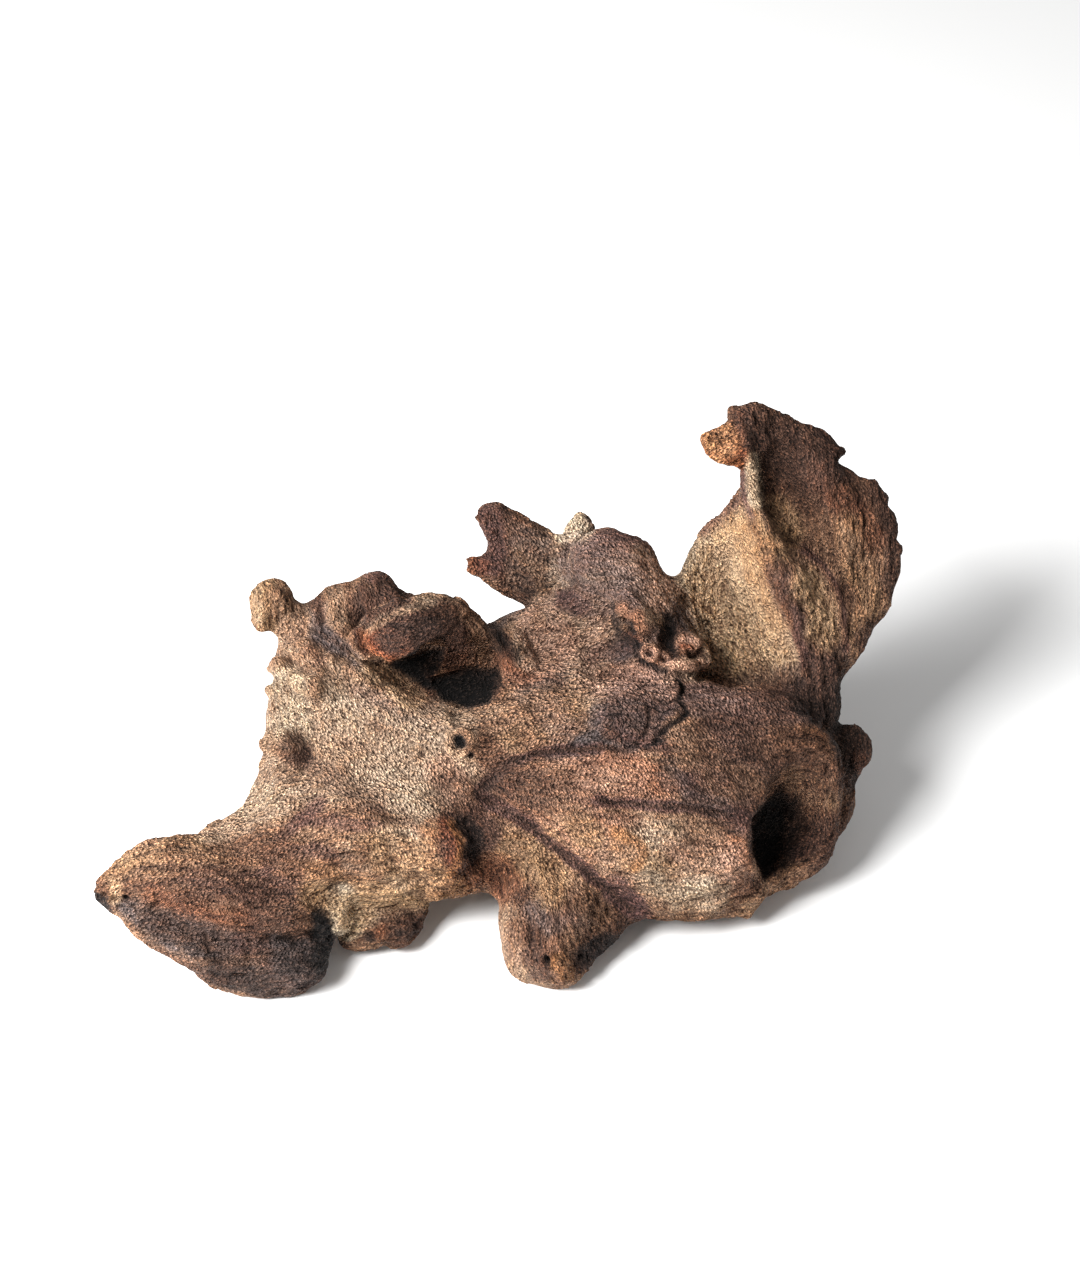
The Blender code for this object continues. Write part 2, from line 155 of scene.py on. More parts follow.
# Small pushes that correct the outline: the place, how far across and down, and the radius in millimetres.
PUSHES = [
    ((1310, 60), (-14, -8), 3.5), ((1530, 98), (2, 30), 6), ((1552, 165), (-38, -4), 3.2),
    ((1597, 203), (2, -8), 2.8), ((1562, 207), (-6, 8), 2.5), ((1300, 163), (0, 15), 4),
    ((1258, 297), (-15, -10), 6), ((1600, 510), (-14, -6), 8), ((1540, 600), (-16, 0), 8),
    ((800, 462), (-14, 12), 4.5), ((648, 408), (-4, 14), 3.5), ((768, 372), (8, -3), 2.6),
    ((838, 478), (-22, 8), 4), ((1180, 362), (2, 30), 6), ((1000, 275), (0, -9), 3.5), ((352, 738), (13, 0), 3.2),
    ((368, 765), (-10, 0), 3.5), ((556, 1140), (-34, 0), 8), ((540, 1195), (-22, -4), 7),
    ((738, 1092), (-28, -4), 6.5), ((1337, 1072), (3, 9), 2.4), ((880, 452), (14, -3), 3),
    ((1555, 188), (-2, 16), 2.4), ((1600, 205), (2, -8), 2.2), ((1628, 250), (-10, 2), 2),
    ((1642, 318), (-8, 0), 1.8), ((1643, 338), (5, 0), 1.6), ((1524, 163), (-14, -8), 2),
    ((1316, 172), (-2, 12), 2), ((705, 1125), (-8, -18), 4), ((612, 1130), (0, -10), 2),
    ((745, 1060), (-18, -8), 4),
]

# Carving on the front: how it is shaped, height in millimetres, half width, then its places.
CARVING = [
    ("ridge", 1.2, 1.4, [(1352, 340), (1388, 400), (1420, 480), (1445, 545)]),
    ("ridge", 1.5, 1.4, [(1318, 70), (1334, 130), (1346, 200), (1360, 280), (1388, 325), (1440, 340), (1490, 385),
                         (1515, 440), (1528, 520)]),
    ("ridge", -1.5, 1.8, [(1350, 110), (1368, 200), (1384, 270), (1410, 308), (1460, 322), (1510, 370), (1538, 440),
                          (1546, 510)]),
    ("knob", 1.6, 1.8, [(1646, 338)]),
    ("ridge", -1.4, 1.8, [(1300, 600), (1380, 600), (1440, 600)]),
    ("ridge", -0.8, 2.4, [(1420, 420), (1460, 480), (1480, 550)]),
    ("ridge", -1.0, 1.8, [(800, 822), (850, 775), (900, 752), (960, 738)]),
    ("ridge", -1.0, 1.8, [(800, 836), (835, 853), (872, 872), (905, 893), (940, 925), (1022, 993), (1090, 1048)]),
    ("ridge", -0.9, 2.0, [(1040, 842), (1120, 848), (1200, 853), (1300, 866), (1350, 880)]),
    ("ridge", 0.9, 2.2, [(1060, 900), (1115, 925), (1130, 950), (1115, 975)]),
    ("ridge", -1.6, 2.4, [(462, 505), (510, 535), (570, 590), (640, 622), (700, 640)]),
    ("ridge", 1.0, 1.8, [(700, 600), (735, 640), (780, 655), (825, 640), (850, 610)]),
    ("ridge", 1.0, 2.4, [(500, 440), (515, 490), (540, 530)]),
    ("ridge", -1.2, 2.0, [(478, 450), (492, 500)]),
    ("ridge", -1.0, 2.2, [(545, 470), (590, 500), (610, 520)]),
    ("ridge", -1.4, 2.6, [(640, 980), (700, 990), (745, 975)]),
    ("ridge", -1.2, 2.4, [(420, 900), (520, 940), (600, 965), (690, 1000)]),
    ("ridge", 0.9, 2.6, [(400, 880), (480, 870), (560, 880), (620, 905)]),
    ("ridge", 1.2, 2.0, [(70, 985), (130, 962), (230, 955), (330, 965), (400, 985)]),
    ("ridge", -1.5, 2.0, [(150, 1060), (210, 1100), (300, 1120), (400, 1125), (470, 1110)]),
    ("ridge", 1.3, 1.8, [(210, 1150), (280, 1168), (360, 1175), (440, 1160)]),
    ("ridge", -1.2, 1.6, [(230, 1180), (300, 1195), (380, 1195), (440, 1182)]),
    ("ridge", -0.9, 1.2, [(260, 1040), (330, 1062), (400, 1090)]),
    ("ridge", -1.1, 1.3, [(1400, 720), (1450, 716), (1500, 730)]),
    ("ridge", 1.0, 1.6, [(1392, 735), (1440, 728), (1490, 742), (1515, 790)]),
    ("ridge", -0.9, 1.2, [(1455, 560), (1465, 620), (1470, 680)]),
    ("ridge", -0.9, 1.2, [(1485, 555), (1492, 620), (1490, 690)]),
    ("ridge", 0.8, 1.0, [(1470, 560), (1480, 620), (1482, 690)]),
    ("ridge", 0.8, 1.0, [(1505, 570), (1510, 640), (1505, 690)]),
    ("ridge", -1.2, 1.6, [(1255, 118), (1275, 106), (1300, 112)]),
    ("ridge", -1.0, 1.6, [(1268, 140), (1300, 150)]),
    ("ridge", -1.3, 1.6, [(820, 260), (835, 300), (838, 345)]),
    ("ridge", -1.2, 1.6, [(800, 350), (830, 352), (860, 372)]),
    ("ridge", -1.3, 1.6, [(965, 300), (972, 335), (966, 372)]),
    ("ridge", 1.0, 2.0, [(940, 420), (980, 412), (1030, 440)]),
    ("ridge", -1.1, 2.0, [(1100, 395), (1150, 430), (1180, 480)]),
    ("ridge", -0.8, 1.6, [(880, 1040), (900, 1090), (905, 1150)]),
    ("ridge", -1.0, 1.8, [(1080, 1050), (1040, 1080), (1030, 1130)]),
    ("knob", 5.0, 3.0, [(405, 578)]),
    ("knob", 5.4, 4.2, [(438, 538), (450, 548)]),
    ("knob", 5.0, 3.2, [(440, 606), (472, 618)]),
    ("knob", 2.4, 2.4, [(378, 622)]),
    ("knob", 2.0, 2.2, [(500, 560)]),
    ("bump", 3.0, 5.0, [(522, 1048), (533, 1085)]),
    ("knob", 2.2, 2.6, [(478, 588)]),
    ("knob", 4.2, 5.0, [(402, 728), (414, 742)]),
    ("ridge", -2.0, 2.2, [(436, 718), (452, 745), (440, 775)]),
    ("plate", 1.8, 3.0, [(640, 900), (700, 885), (745, 892), (768, 925), (768, 965), (745, 995), (690, 1000),
                         (640, 985)]),
    ("ridge", -2.4, 3.0, [(762, 885), (790, 910), (785, 950)]),
    ("ridge", -2.0, 2.0, [(840, 515), (862, 540), (885, 552)]),
    ("ridge", -3.0, 1.7, [(655, 434), (625, 452), (590, 474), (566, 494), (560, 520), (572, 545), (598, 562)]),
    ("bump", 2.2, 5.0, [(525, 440), (535, 490)]),
    ("ridge", -1.6, 1.8, [(548, 415), (556, 450), (562, 480)]),
    ("plate", 3.0, 2.4, [(545, 572), (590, 590), (640, 622), (700, 645), (745, 660), (740, 690), (660, 672),
                         (600, 640), (550, 605)]),
    ("bump", 2.4, 6.0, [(905, 530), (930, 560)]),
    ("plate", 1.6, 1.6, [(572, 505), (590, 480), (640, 455), (710, 470), (735, 500), (700, 520), (660, 545),
                         (625, 560), (590, 550)]),
    ("plate", -3.0, 1.4, [(600, 566), (640, 568), (690, 532), (735, 512), (722, 560), (705, 600), (760, 585),
                          (830, 578), (846, 612), (815, 645), (760, 655), (700, 628), (640, 605)]),
    ("plate", -3.0, 1.6, [(1398, 812), (1370, 845), (1345, 885), (1348, 940), (1368, 995), (1392, 960), (1410, 900),
                          (1415, 850)]),
    ("ridge", 1.4, 1.6, [(1405, 785), (1375, 825), (1342, 868), (1332, 920), (1345, 980)]),
    ("ridge", 1.0, 1.4, [(1385, 1005), (1430, 978), (1475, 955), (1500, 925)]),
    ("knob", 3.8, 2.6, [(1088, 460)]),
    ("knob", 4.4, 3.0, [(1120, 474), (1124, 494)]),
    ("knob", 2.4, 2.2, [(1092, 492)]),
    ("hole", -3.0, 1.5, [(1090, 478)]),
    ("hole", -2.6, 1.3, [(1104, 500)]),
    ("ring", 2.4, 3.0, [(1137, 546)]),
    ("ring", 2.0, 2.6, [(1165, 557)]),
    ("knob", 3.6, 3.4, [(1212, 532)]),
    ("ring", 1.6, 3.4, [(1212, 528)]),
    ("knob", 3.4, 2.2, [(1190, 571), (1215, 574)]),
    ("knob", 3.0, 2.4, [(1238, 570)]),
    ("ridge", -2.2, 1.5, [(1115, 530), (1122, 562), (1150, 575), (1180, 560), (1190, 545)]),
    ("ridge", -2.0, 1.5, [(1172, 582), (1210, 592), (1255, 590)]),
    ("ridge", -1.8, 2.6, [(1178, 480), (1180, 515), (1175, 540)]),
    ("ridge", -1.2, 2.4, [(1050, 540), (1080, 520), (1100, 530)]),
    ("knob", 1.8, 4.6, [(770, 726)]),
    ("knob", 2.4, 3.0, [(918, 486)]),
    ("bump", 1.2, 1.8, [(935, 500)]),
    ("bump", 1.6, 2.0, [(965, 1178)]),
    ("bump", 1.4, 2.0, [(1300, 975)]),
    ("bump", 1.6, 3.0, [(385, 735)]),
    ("bump", 1.6, 2.4, [(560, 1105)]),
    ("bump", 1.6, 2.6, [(600, 1115)]),
    ("bump", 1.6, 2.6, [(650, 1110)]),
    ("bump", 1.4, 2.2, [(625, 1075)]),
    ("hole", -4.2, 2.2, [(755, 718), (759, 729)]),
    ("hole", -1.6, 1.2, [(781, 750)]),
    ("hole", -3.4, 1.4, [(935, 1160)]),
    ("hole", -1.8, 1.1, [(922, 480)]),
    ("hole", -2.4, 1.5, [(45, 1030)]),
    ("hole", -1.6, 1.2, [(92, 1035)]),
    ("hole", -1.6, 1.2, [(1262, 118)]),
    ("hole", -1.4, 1.2, [(1388, 975)]),
    ("hole", -1.2, 1.0, [(1280, 318)]),
    ("plate", 1.3, 0.7, [(1040, 690), (1060, 640), (1110, 610), (1165, 598), (1200, 606), (1205, 624), (1195, 642),
                         (1216, 662), (1188, 692), (1162, 716), (1130, 724), (1080, 728)]),
    ("plate", -0.9, 0.7, [(950, 742), (1000, 712), (1032, 700), (1055, 722), (1085, 738), (1020, 745)]),
    ("crack", -1.6, 0.9, [(1196, 602), (1206, 618), (1197, 640), (1213, 660), (1204, 674), (1184, 690), (1164, 706),
                          (1152, 718)]),
    ("crack", -1.2, 0.7, [(1150, 636), (1172, 650), (1197, 640)]),
    ("crack", -1.2, 0.7, [(1134, 656), (1137, 684), (1128, 708)]),
    ("crack", -1.0, 0.7, [(690, 1010), (730, 1020), (790, 1012)]),
    ("crack", -1.0, 0.7, [(1330, 640), (1332, 660)]),
    ("crack", -1.1, 0.7, [(330, 1130), (335, 1160)]),
    ("crack", -1.1, 0.7, [(250, 1110), (258, 1145)]),
]

# The scorched bark plate, where the wood is cracked.
BARK = [(1040, 700), (1055, 640), (1110, 606), (1165, 594), (1204, 602), (1209, 624), (1199, 642), (1221, 662),
        (1190, 697), (1164, 721), (1130, 730), (1080, 734)]

# Paint on the front: colour, how strong, how soft its edge is in millimetres, half width (0 for an area), places.
# Many marks are painted light: dark colours where shade falls, in holes, hollows, creases and on shadow sides,
# and pale colours where the surface lies in shade.
PAINT = [
    # left wall, leg and foot
    ("sand", 0.85, 5, 0, [(385, 560), (460, 520), (560, 600), (660, 640), (760, 675), (860, 690), (880, 730),
                          (830, 790), (790, 860), (720, 900), (640, 850), (540, 850), (430, 860), (330, 920),
                          (200, 940), (250, 900), (330, 790), (385, 700), (365, 650)]),
    ("cream", 0.45, 6, 7, [(400, 700), (500, 760), (600, 790), (680, 820)]),
    ("cream", 0.5, 5, 6, [(330, 850), (380, 820), (420, 780)]),
    ("tan", 0.5, 4, 5, [(480, 590), (540, 640), (620, 690)]),
    ("salmon", 0.5, 5, 6, [(720, 780), (760, 820), (780, 870)]),
    ("mauve", 0.4, 5, 6, [(560, 640), (640, 680), (700, 700)]),
    ("tan", 0.7, 5, 0, [(380, 900), (450, 850), (560, 850), (700, 900), (760, 950), (740, 1010), (640, 1020),
                        (500, 1060), (420, 1100), (330, 1060), (300, 1000), (340, 940)]),
    ("plum", 0.6, 2.5, 2.6, [(370, 985), (400, 920), (450, 870), (480, 845)]),
    ("plum", 0.5, 2.5, 2.6, [(450, 875), (540, 885), (610, 905), (640, 930)]),
    ("plum", 0.6, 2.5, 3.0, [(400, 945), (470, 945), (540, 965), (600, 985), (680, 1000), (740, 1008)]),
    ("umber", 0.4, 2.5, 2.0, [(500, 960), (600, 985), (690, 1002)]),
    ("ochre", 0.4, 4, 4, [(420, 975), (500, 985), (580, 1010)]),
    ("straw", 0.6, 4, 5, [(500, 1040), (560, 1040), (640, 1020)]),
    ("sand", 0.5, 4, 5, [(520, 1080), (600, 1060), (680, 1040)]),
    ("brown", 0.5, 4, 5, [(600, 840), (680, 860), (740, 880)]),
    ("salmon", 0.6, 4, 5, [(620, 930), (680, 920), (720, 950)]),
    ("rust", 0.6, 3.5, 5, [(725, 900), (742, 940), (725, 980)]),
    # painted shade: the shadow side of the big nub and the shadow beside it
    ("umber", 0.9, 3, 5, [(752, 890), (780, 925), (765, 970)]),
    ("soot_and_shade", 0.6, 3, 3.5, [(775, 895), (792, 930)]),
    ("brown", 0.6, 5, 6, [(750, 1000), (800, 990), (850, 1000)]),
    ("straw", 0.45, 3, 5, [(80, 975), (160, 955), (260, 965), (340, 975)]),
    ("brown", 0.4, 2.5, 1.6, [(80, 985), (170, 975), (260, 988), (350, 985)]),
    ("brown", 0.8, 5, 0, [(90, 1010), (200, 985), (320, 985), (430, 1000), (470, 1040), (440, 1090), (430, 1140),
                          (340, 1120), (240, 1100), (160, 1070)]),
    ("plum", 0.45, 5, 7, [(250, 1005), (330, 1012), (410, 1000)]),
    ("umber", 0.5, 4, 6, [(350, 1030), (400, 1040), (440, 1060)]),
    ("rust", 0.35, 4, 5, [(150, 1030), (240, 1060), (330, 1085)]),
    ("tan", 0.5, 4, 3, [(180, 1010), (230, 1030), (300, 1050)]),
    # painted shade: the foot's underside, which faces down
    ("slate", 0.9, 4, 0, [(60, 1046), (100, 1025), (160, 1062), (230, 1080), (300, 1100), (400, 1132), (450, 1130),
                          (460, 1180), (520, 1190), (470, 1220), (400, 1250), (330, 1225), (200, 1190), (140, 1130)]),
    ("umber", 0.6, 4, 5, [(180, 1090), (260, 1120), (330, 1140)]),
    ("plum", 0.5, 4, 5, [(330, 1130), (390, 1150), (440, 1190)]),
    ("tan", 0.6, 2.5, 1.8, [(120, 1105), (170, 1145), (230, 1165), (290, 1168), (350, 1158), (420, 1150)]),
    ("brown", 0.6, 3, 3, [(160, 1150), (220, 1180), (280, 1195)]),
    ("tan", 0.6, 4, 4, [(432, 1105), (450, 1065), (485, 1030)]),
    # painted shade in the recess beside the foot
    ("black", 0.9, 3, 0, [(470, 1088), (500, 1062), (522, 1085), (528, 1150), (500, 1178), (462, 1172), (448, 1140),
                          (446, 1112)]),
    ("umber", 0.7, 3, 3, [(522, 1100), (522, 1160), (495, 1195)]),
    ("brown", 0.7, 3, 6, [(45, 1003), (75, 1000), (95, 1012)]),
    # painted shade in the hollow at the foot's broken tip and in the small hole beside it
    ("black", 0.9, 2, 0, [(26, 1024), (50, 1030), (60, 1048), (42, 1062), (26, 1050)]),
    ("soot_and_shade", 0.8, 1.4, 1.2, [(84, 1034), (95, 1038)]),
    ("umber", 0.7, 3, 4, [(190, 915), (205, 918)]),
    ("brown", 0.7, 4, 0, [(535, 1100), (560, 1082), (620, 1080), (640, 1100), (610, 1130), (555, 1132)]),
    ("rust", 0.4, 3, 3, [(560, 1095), (600, 1100)]),
    ("umber", 0.85, 3, 0, [(618, 1085), (700, 1060), (730, 1062), (716, 1088), (682, 1108), (660, 1140),
                           (612, 1130)]),
    ("soot_and_shade", 0.7, 2, 1.6, [(555, 1108), (585, 1116)]),
    ("soot_and_shade", 0.6, 2, 2, [(640, 1105), (668, 1098)]),
    # the leg's pale wood, made paler as painted light where the surface faces down or lies in a hollow
    ("cream", 0.6, 5, 6, [(540, 1035), (560, 1075)]),
    ("straw", 0.7, 5, 6, [(470, 1030), (520, 1050), (560, 1060)]),
    ("straw", 0.8, 6, 6, [(600, 935), (640, 965), (670, 1000)]),
    ("straw", 0.8, 5, 5, [(640, 1035), (700, 1025), (740, 1015)]),
    ("brown", 0.5, 6, 7, [(330, 940), (380, 930), (420, 950)]),
    ("umber", 0.6, 5, 6, [(370, 1085), (420, 1110), (450, 1160), (400, 1170)]),
    ("rust", 0.75, 4, 5.5, [(715, 900), (735, 940), (722, 975)]),
    ("brown", 0.5, 4, 4, [(745, 900), (752, 940)]),
    ("tan", 0.5, 7, 8, [(400, 760), (470, 750), (560, 760)]),
    # bumps on the left, far knob, hump
    ("sand", 0.6, 4, 5, [(375, 730), (400, 745)]),
    # painted shadow on the right side of the left nub
    ("umber", 0.85, 3, 0, [(420, 714), (450, 735), (462, 760), (455, 780), (430, 762)]),
    ("soot_and_shade", 0.5, 3, 2, [(435, 735), (452, 757)]),
    ("umber", 0.4, 5, 4, [(470, 775), (520, 805), (570, 840), (640, 870), (720, 880)]),
    ("brown", 0.5, 3, 3, [(385, 790), (420, 800)]),
    ("salmon", 0.7, 3, 4, [(440, 535), (460, 560)]),
    ("brown", 0.6, 3, 3, [(425, 560), (460, 585), (480, 620), (460, 640)]),
    ("umber", 0.5, 2, 2, [(395, 600), (430, 625), (450, 640)]),
    ("tan", 0.6, 3, 3, [(400, 580), (410, 600)]),
    ("straw", 0.85, 4, 7, [(355, 410), (370, 450), (385, 490)]),
    ("cream", 0.4, 3, 3, [(350, 420), (352, 480)]),
    ("brown", 0.5, 3, 3, [(395, 430), (405, 470)]),
    ("plum", 0.5, 4, 0, [(430, 450), (470, 425), (510, 430), (520, 480), (540, 530), (500, 545), (440, 510),
                         (400, 500)]),
    ("slate", 0.6, 3, 4, [(440, 470), (480, 500), (520, 535)]),
    ("umber", 0.9, 4, 0, [(556, 405), (600, 378), (655, 415), (652, 440), (610, 468), (570, 492), (556, 490),
                          (550, 450)]),
    ("plum", 0.6, 3, 3, [(580, 388), (600, 384)]),
    ("brown", 0.6, 4, 5, [(520, 420), (530, 470), (560, 510)]),
    ("tan", 0.6, 3, 3.5, [(505, 430), (520, 480), (545, 520)]),
    ("rust", 0.4, 4, 4, [(600, 440), (620, 455)]),
    ("slate", 0.75, 3, 2.6, [(470, 500), (520, 530), (560, 570), (600, 600), (650, 628), (715, 650)]),
    ("salmon", 0.6, 2, 1.6, [(575, 560), (600, 582), (640, 602)]),
    ("brown", 0.7, 2.5, 2.6, [(470, 545), (482, 562)]),
    ("umber", 0.6, 2.5, 2.2, [(430, 628), (470, 640), (500, 632)]),
    # lobe and the pit under it: the pit is painted shade in black, the creases round the lobe and its underside are
    # painted shade, and its upper edge a painted highlight
    ("brown", 0.8, 4, 0, [(620, 470), (660, 435), (730, 425), (790, 450), (820, 500), (840, 560), (870, 600),
                          (840, 620), (800, 560), (740, 510), (660, 500)]),
    ("sand", 0.6, 3, 3, [(610, 462), (650, 440), (700, 430), (750, 438)]),
    ("straw", 0.6, 3, 3, [(620, 480), (660, 478), (700, 470)]),
    ("umber", 0.6, 4, 5, [(690, 490), (720, 465), (770, 480)]),
    ("tan", 0.5, 3, 3, [(790, 490), (815, 540), (840, 580)]),
    ("salmon", 0.5, 3, 3, [(850, 560), (875, 600)]),
    ("brown", 0.9, 4, 6, [(630, 495), (680, 480), (725, 490)]),
    ("umber", 0.5, 4, 5, [(650, 500), (700, 480)]),
    ("ochre", 0.5, 3, 3, [(585, 490), (620, 475), (650, 465)]),
    ("orange", 0.5, 3, 4.5, [(582, 508), (597, 528), (610, 540)]),
    ("rust", 0.8, 3, 4, [(600, 515), (622, 530), (648, 525)]),
    ("orange", 0.5, 2, 1.6, [(585, 545), (620, 556)]),
    ("umber", 0.7, 3, 3, [(655, 522), (690, 505), (725, 495)]),
    ("brown", 0.85, 4, 0, [(740, 470), (790, 460), (830, 540), (842, 575), (790, 572), (735, 560)]),
    ("rust", 0.5, 3, 4, [(740, 500), (755, 540), (750, 575)]),
    ("tan", 0.4, 3, 3, [(770, 490), (795, 530), (805, 560)]),
    # painted shade: the deep pit under the lobe
    ("black", 0.97, 2, 0, [(606, 562), (640, 560), (680, 528), (738, 506), (728, 560), (704, 594), (730, 590),
                           (760, 580), (832, 572), (848, 610), (818, 648), (760, 658), (710, 632), (650, 598)]),
    ("umber", 0.6, 3, 3, [(700, 585), (720, 560), (760, 578)]),
    ("soot_and_shade", 0.8, 3, 3, [(810, 590), (830, 610)]),
    ("brown", 0.55, 5, 2.4, [(770, 570), (832, 574), (848, 600), (838, 626)]),
    ("black", 0.7, 2.5, 2, [(838, 512), (862, 540), (885, 552)]),
    ("umber", 0.8, 2, 1.6, [(655, 434), (625, 452), (590, 474), (566, 494), (560, 520), (572, 545), (598, 562)]),
    ("sand", 0.6, 3, 2.5, [(700, 655), (740, 668), (800, 672), (850, 655)]),
    # painted shadow to the right of the worm hole
    ("brown", 0.6, 4, 4, [(810, 705), (815, 740), (840, 760)]),
    # plateau left, shoulder
    ("tan", 0.8, 6, 0, [(820, 680), (860, 620), (940, 600), (1030, 600), (1050, 640), (1020, 690), (940, 740),
                        (860, 770), (800, 800), (800, 740)]),
    ("straw", 0.6, 4, 4, [(860, 720), (930, 690), (1000, 650)]),
    ("salmon", 0.8, 5, 0, [(840, 540), (880, 480), (950, 470), (1060, 470), (1090, 560), (1030, 590), (930, 600),
                           (880, 620), (850, 590)]),
    ("tan", 0.5, 4, 5, [(950, 510), (1020, 520), (1050, 550)]),
    ("rust", 0.4, 4, 4, [(850, 560), (900, 580), (960, 590)]),
    ("slate", 0.7, 4, 3.5, [(825, 490), (850, 470), (900, 452), (950, 440)]),
    ("plum", 0.8, 3, 3.5, [(955, 418), (980, 438), (1000, 455)]),
    # painted light: paler where the shoulder's upper left lies in shade
    ("sand", 0.6, 5, 6, [(900, 520), (930, 560), (1005, 565)]),
    ("brown", 0.7, 2.5, 3, [(905, 475), (925, 490)]),
    ("rust", 0.6, 2.5, 2.4, [(900, 478), (912, 486)]),
    ("slate", 0.55, 4, 3, [(1110, 540), (1060, 545), (1010, 575), (950, 600), (885, 632)]),
    ("slate", 0.8, 6, 3.5, [(1035, 552), (1075, 525), (1105, 540), (1080, 560)]),
    ("soot_and_shade", 0.5, 4, 3, [(1070, 530), (1100, 540)]),
    # fork arm
    ("brown", 0.8, 6, 0, [(790, 250), (850, 245), (960, 300), (1000, 330), (960, 440), (890, 440), (780, 370)]),
    ("umber", 0.85, 4, 0, [(795, 255), (850, 240), (880, 280), (870, 330), (850, 400), (800, 390), (775, 360),
                           (815, 340)]),
    ("plum", 0.7, 4, 5, [(820, 270), (825, 320), (822, 370)]),
    ("brown", 0.5, 5, 6, [(880, 310), (905, 350), (870, 410)]),
    ("straw", 0.75, 4, 6, [(900, 350), (930, 330), (960, 320)]),
    ("straw", 0.6, 4, 5, [(880, 400), (920, 400), (950, 380)]),
    ("umber", 0.5, 3, 3, [(870, 380), (900, 420)]),
    ("sand", 0.8, 3, 4.5, [(940, 325), (958, 350), (955, 395)]),
    # the far knob's pale wood, with painted light where it lies in the dome's shade, carried onto the dome's edge
    ("cream", 0.95, 3, 0, [(962, 285), (975, 262), (1012, 258), (1024, 300), (990, 325), (972, 345), (968, 380),
                           (950, 380), (945, 330), (960, 306)]),
    ("slate", 0.7, 1.6, 1.4, [(1012, 275), (1018, 295)]),
    ("rust", 0.5, 3, 3.5, [(785, 365), (800, 375)]),
    # dome
    ("mauve", 0.85, 5, 0, [(965, 340), (1010, 310), (1080, 298), (1140, 340), (1160, 390), (1220, 420), (1240, 480),
                           (1200, 540), (1130, 520), (1090, 450), (1030, 430), (980, 400)]),
    ("plum", 0.7, 4, 5, [(1000, 320), (1060, 302), (1120, 325), (1150, 370)]),
    ("slate", 0.5, 6, 8, [(990, 400), (1010, 440), (1060, 430)]),
    ("mauve", 0.7, 6, 8, [(1010, 350), (1040, 390), (1080, 430)]),
    ("salmon", 0.5, 4, 5, [(1090, 355), (1125, 375)]),
    ("sand", 0.6, 4, 4, [(1120, 350), (1150, 395), (1165, 440)]),
    ("slate", 0.7, 4, 5, [(1080, 402), (1130, 420), (1180, 455), (1225, 485)]),
    ("umber", 0.6, 4, 4, [(1140, 440), (1160, 480), (1200, 520)]),
    ("brown", 0.6, 4, 4, [(975, 360), (1000, 400), (1060, 430)]),
    ("tan", 0.5, 4, 4, [(1160, 400), (1210, 430), (1240, 450)]),
    ("brown", 0.8, 3, 0, [(1072, 448), (1095, 440), (1130, 458), (1136, 515), (1105, 530), (1080, 505)]),
    ("tan", 0.7, 2, 1.8, [(1082, 455), (1092, 462)]),
    ("ochre", 0.6, 2, 1.8, [(1112, 470), (1122, 490)]),
    ("rust", 0.6, 2, 1.6, [(1095, 512), (1112, 520)]),
    # painted shade inside the two small holes of the knot
    ("black", 0.8, 1.4, 1.2, [(1086, 472), (1092, 482)]),
    ("black", 0.8, 1.4, 1.1, [(1102, 494), (1108, 505)]),
    # painted shade in the hollow right of the knots
    ("soot_and_shade", 0.8, 4, 0, [(1160, 470), (1185, 475), (1195, 520), (1190, 550), (1165, 540), (1155, 500)]),
    ("umber", 0.8, 2.5, 0, [(1112, 525), (1190, 540), (1240, 510), (1262, 560), (1262, 596), (1170, 596),
                            (1120, 572)]),
    ("salmon", 0.9, 1.6, 3.2, [(1133, 545), (1145, 548)]),
    ("salmon", 0.9, 1.6, 2.6, [(1162, 556), (1172, 560)]),
    ("umber", 0.9, 1.2, 1.2, [(1137, 546), (1141, 549)]),
    ("umber", 0.9, 1.2, 1.0, [(1165, 557), (1168, 559)]),
    ("brown", 0.9, 1.8, 4.2, [(1204, 532), (1222, 532)]),
    ("salmon", 0.9, 1.4, 1.2, [(1192, 524), (1212, 518), (1234, 526)]),
    ("salmon", 0.9, 1.8, 2.0, [(1182, 570), (1215, 573), (1248, 568)]),
    ("tan", 0.7, 1.4, 1.4, [(1232, 566), (1246, 566)]),
    # painted shade in the crease under the ledge of knobs
    ("soot_and_shade", 0.8, 1.8, 1.2, [(1175, 586), (1210, 594), (1258, 590)]),
    ("straw", 0.6, 3, 3, [(1190, 590), (1240, 582)]),
    # bark patch, plateau, neck
    ("plum", 0.8, 5, 0, [(1030, 610), (1120, 580), (1220, 600), (1300, 610), (1450, 600), (1500, 680), (1420, 700),
                         (1340, 760), (1220, 770), (1150, 740), (1080, 740), (1030, 700)]),
    ("slate", 0.7, 4, 4, [(1030, 690), (1050, 630), (1110, 605), (1190, 600)]),
    ("brown", 0.4, 4, 6, [(1090, 650), (1130, 680)]),
    ("salmon", 0.6, 4, 4, [(1040, 600), (1100, 585), (1150, 590)]),
    # painted shadow along the stepped right edge of the bark plate
    ("soot_and_shade", 0.9, 1.2, 0.8, [(1206, 606), (1209, 624), (1199, 642), (1221, 662), (1190, 697), (1164, 721),
                             (1130, 730)]),
    ("slate", 0.5, 3, 2.6, [(1222, 630), (1238, 665), (1210, 705)]),
    ("slate", 0.5, 6, 9, [(1100, 660), (1160, 660)]),
    ("mauve", 0.5, 5, 6, [(940, 670), (980, 720)]),
    ("soot_and_shade", 0.8, 0.8, 0.7, [(1150, 636), (1172, 650), (1197, 640)]),
    ("soot_and_shade", 0.8, 0.8, 0.7, [(1134, 656), (1137, 684), (1128, 708)]),
    ("slate", 0.9, 2, 0, [(945, 748), (1000, 705), (1035, 700), (1060, 722), (1090, 738), (1020, 748)]),
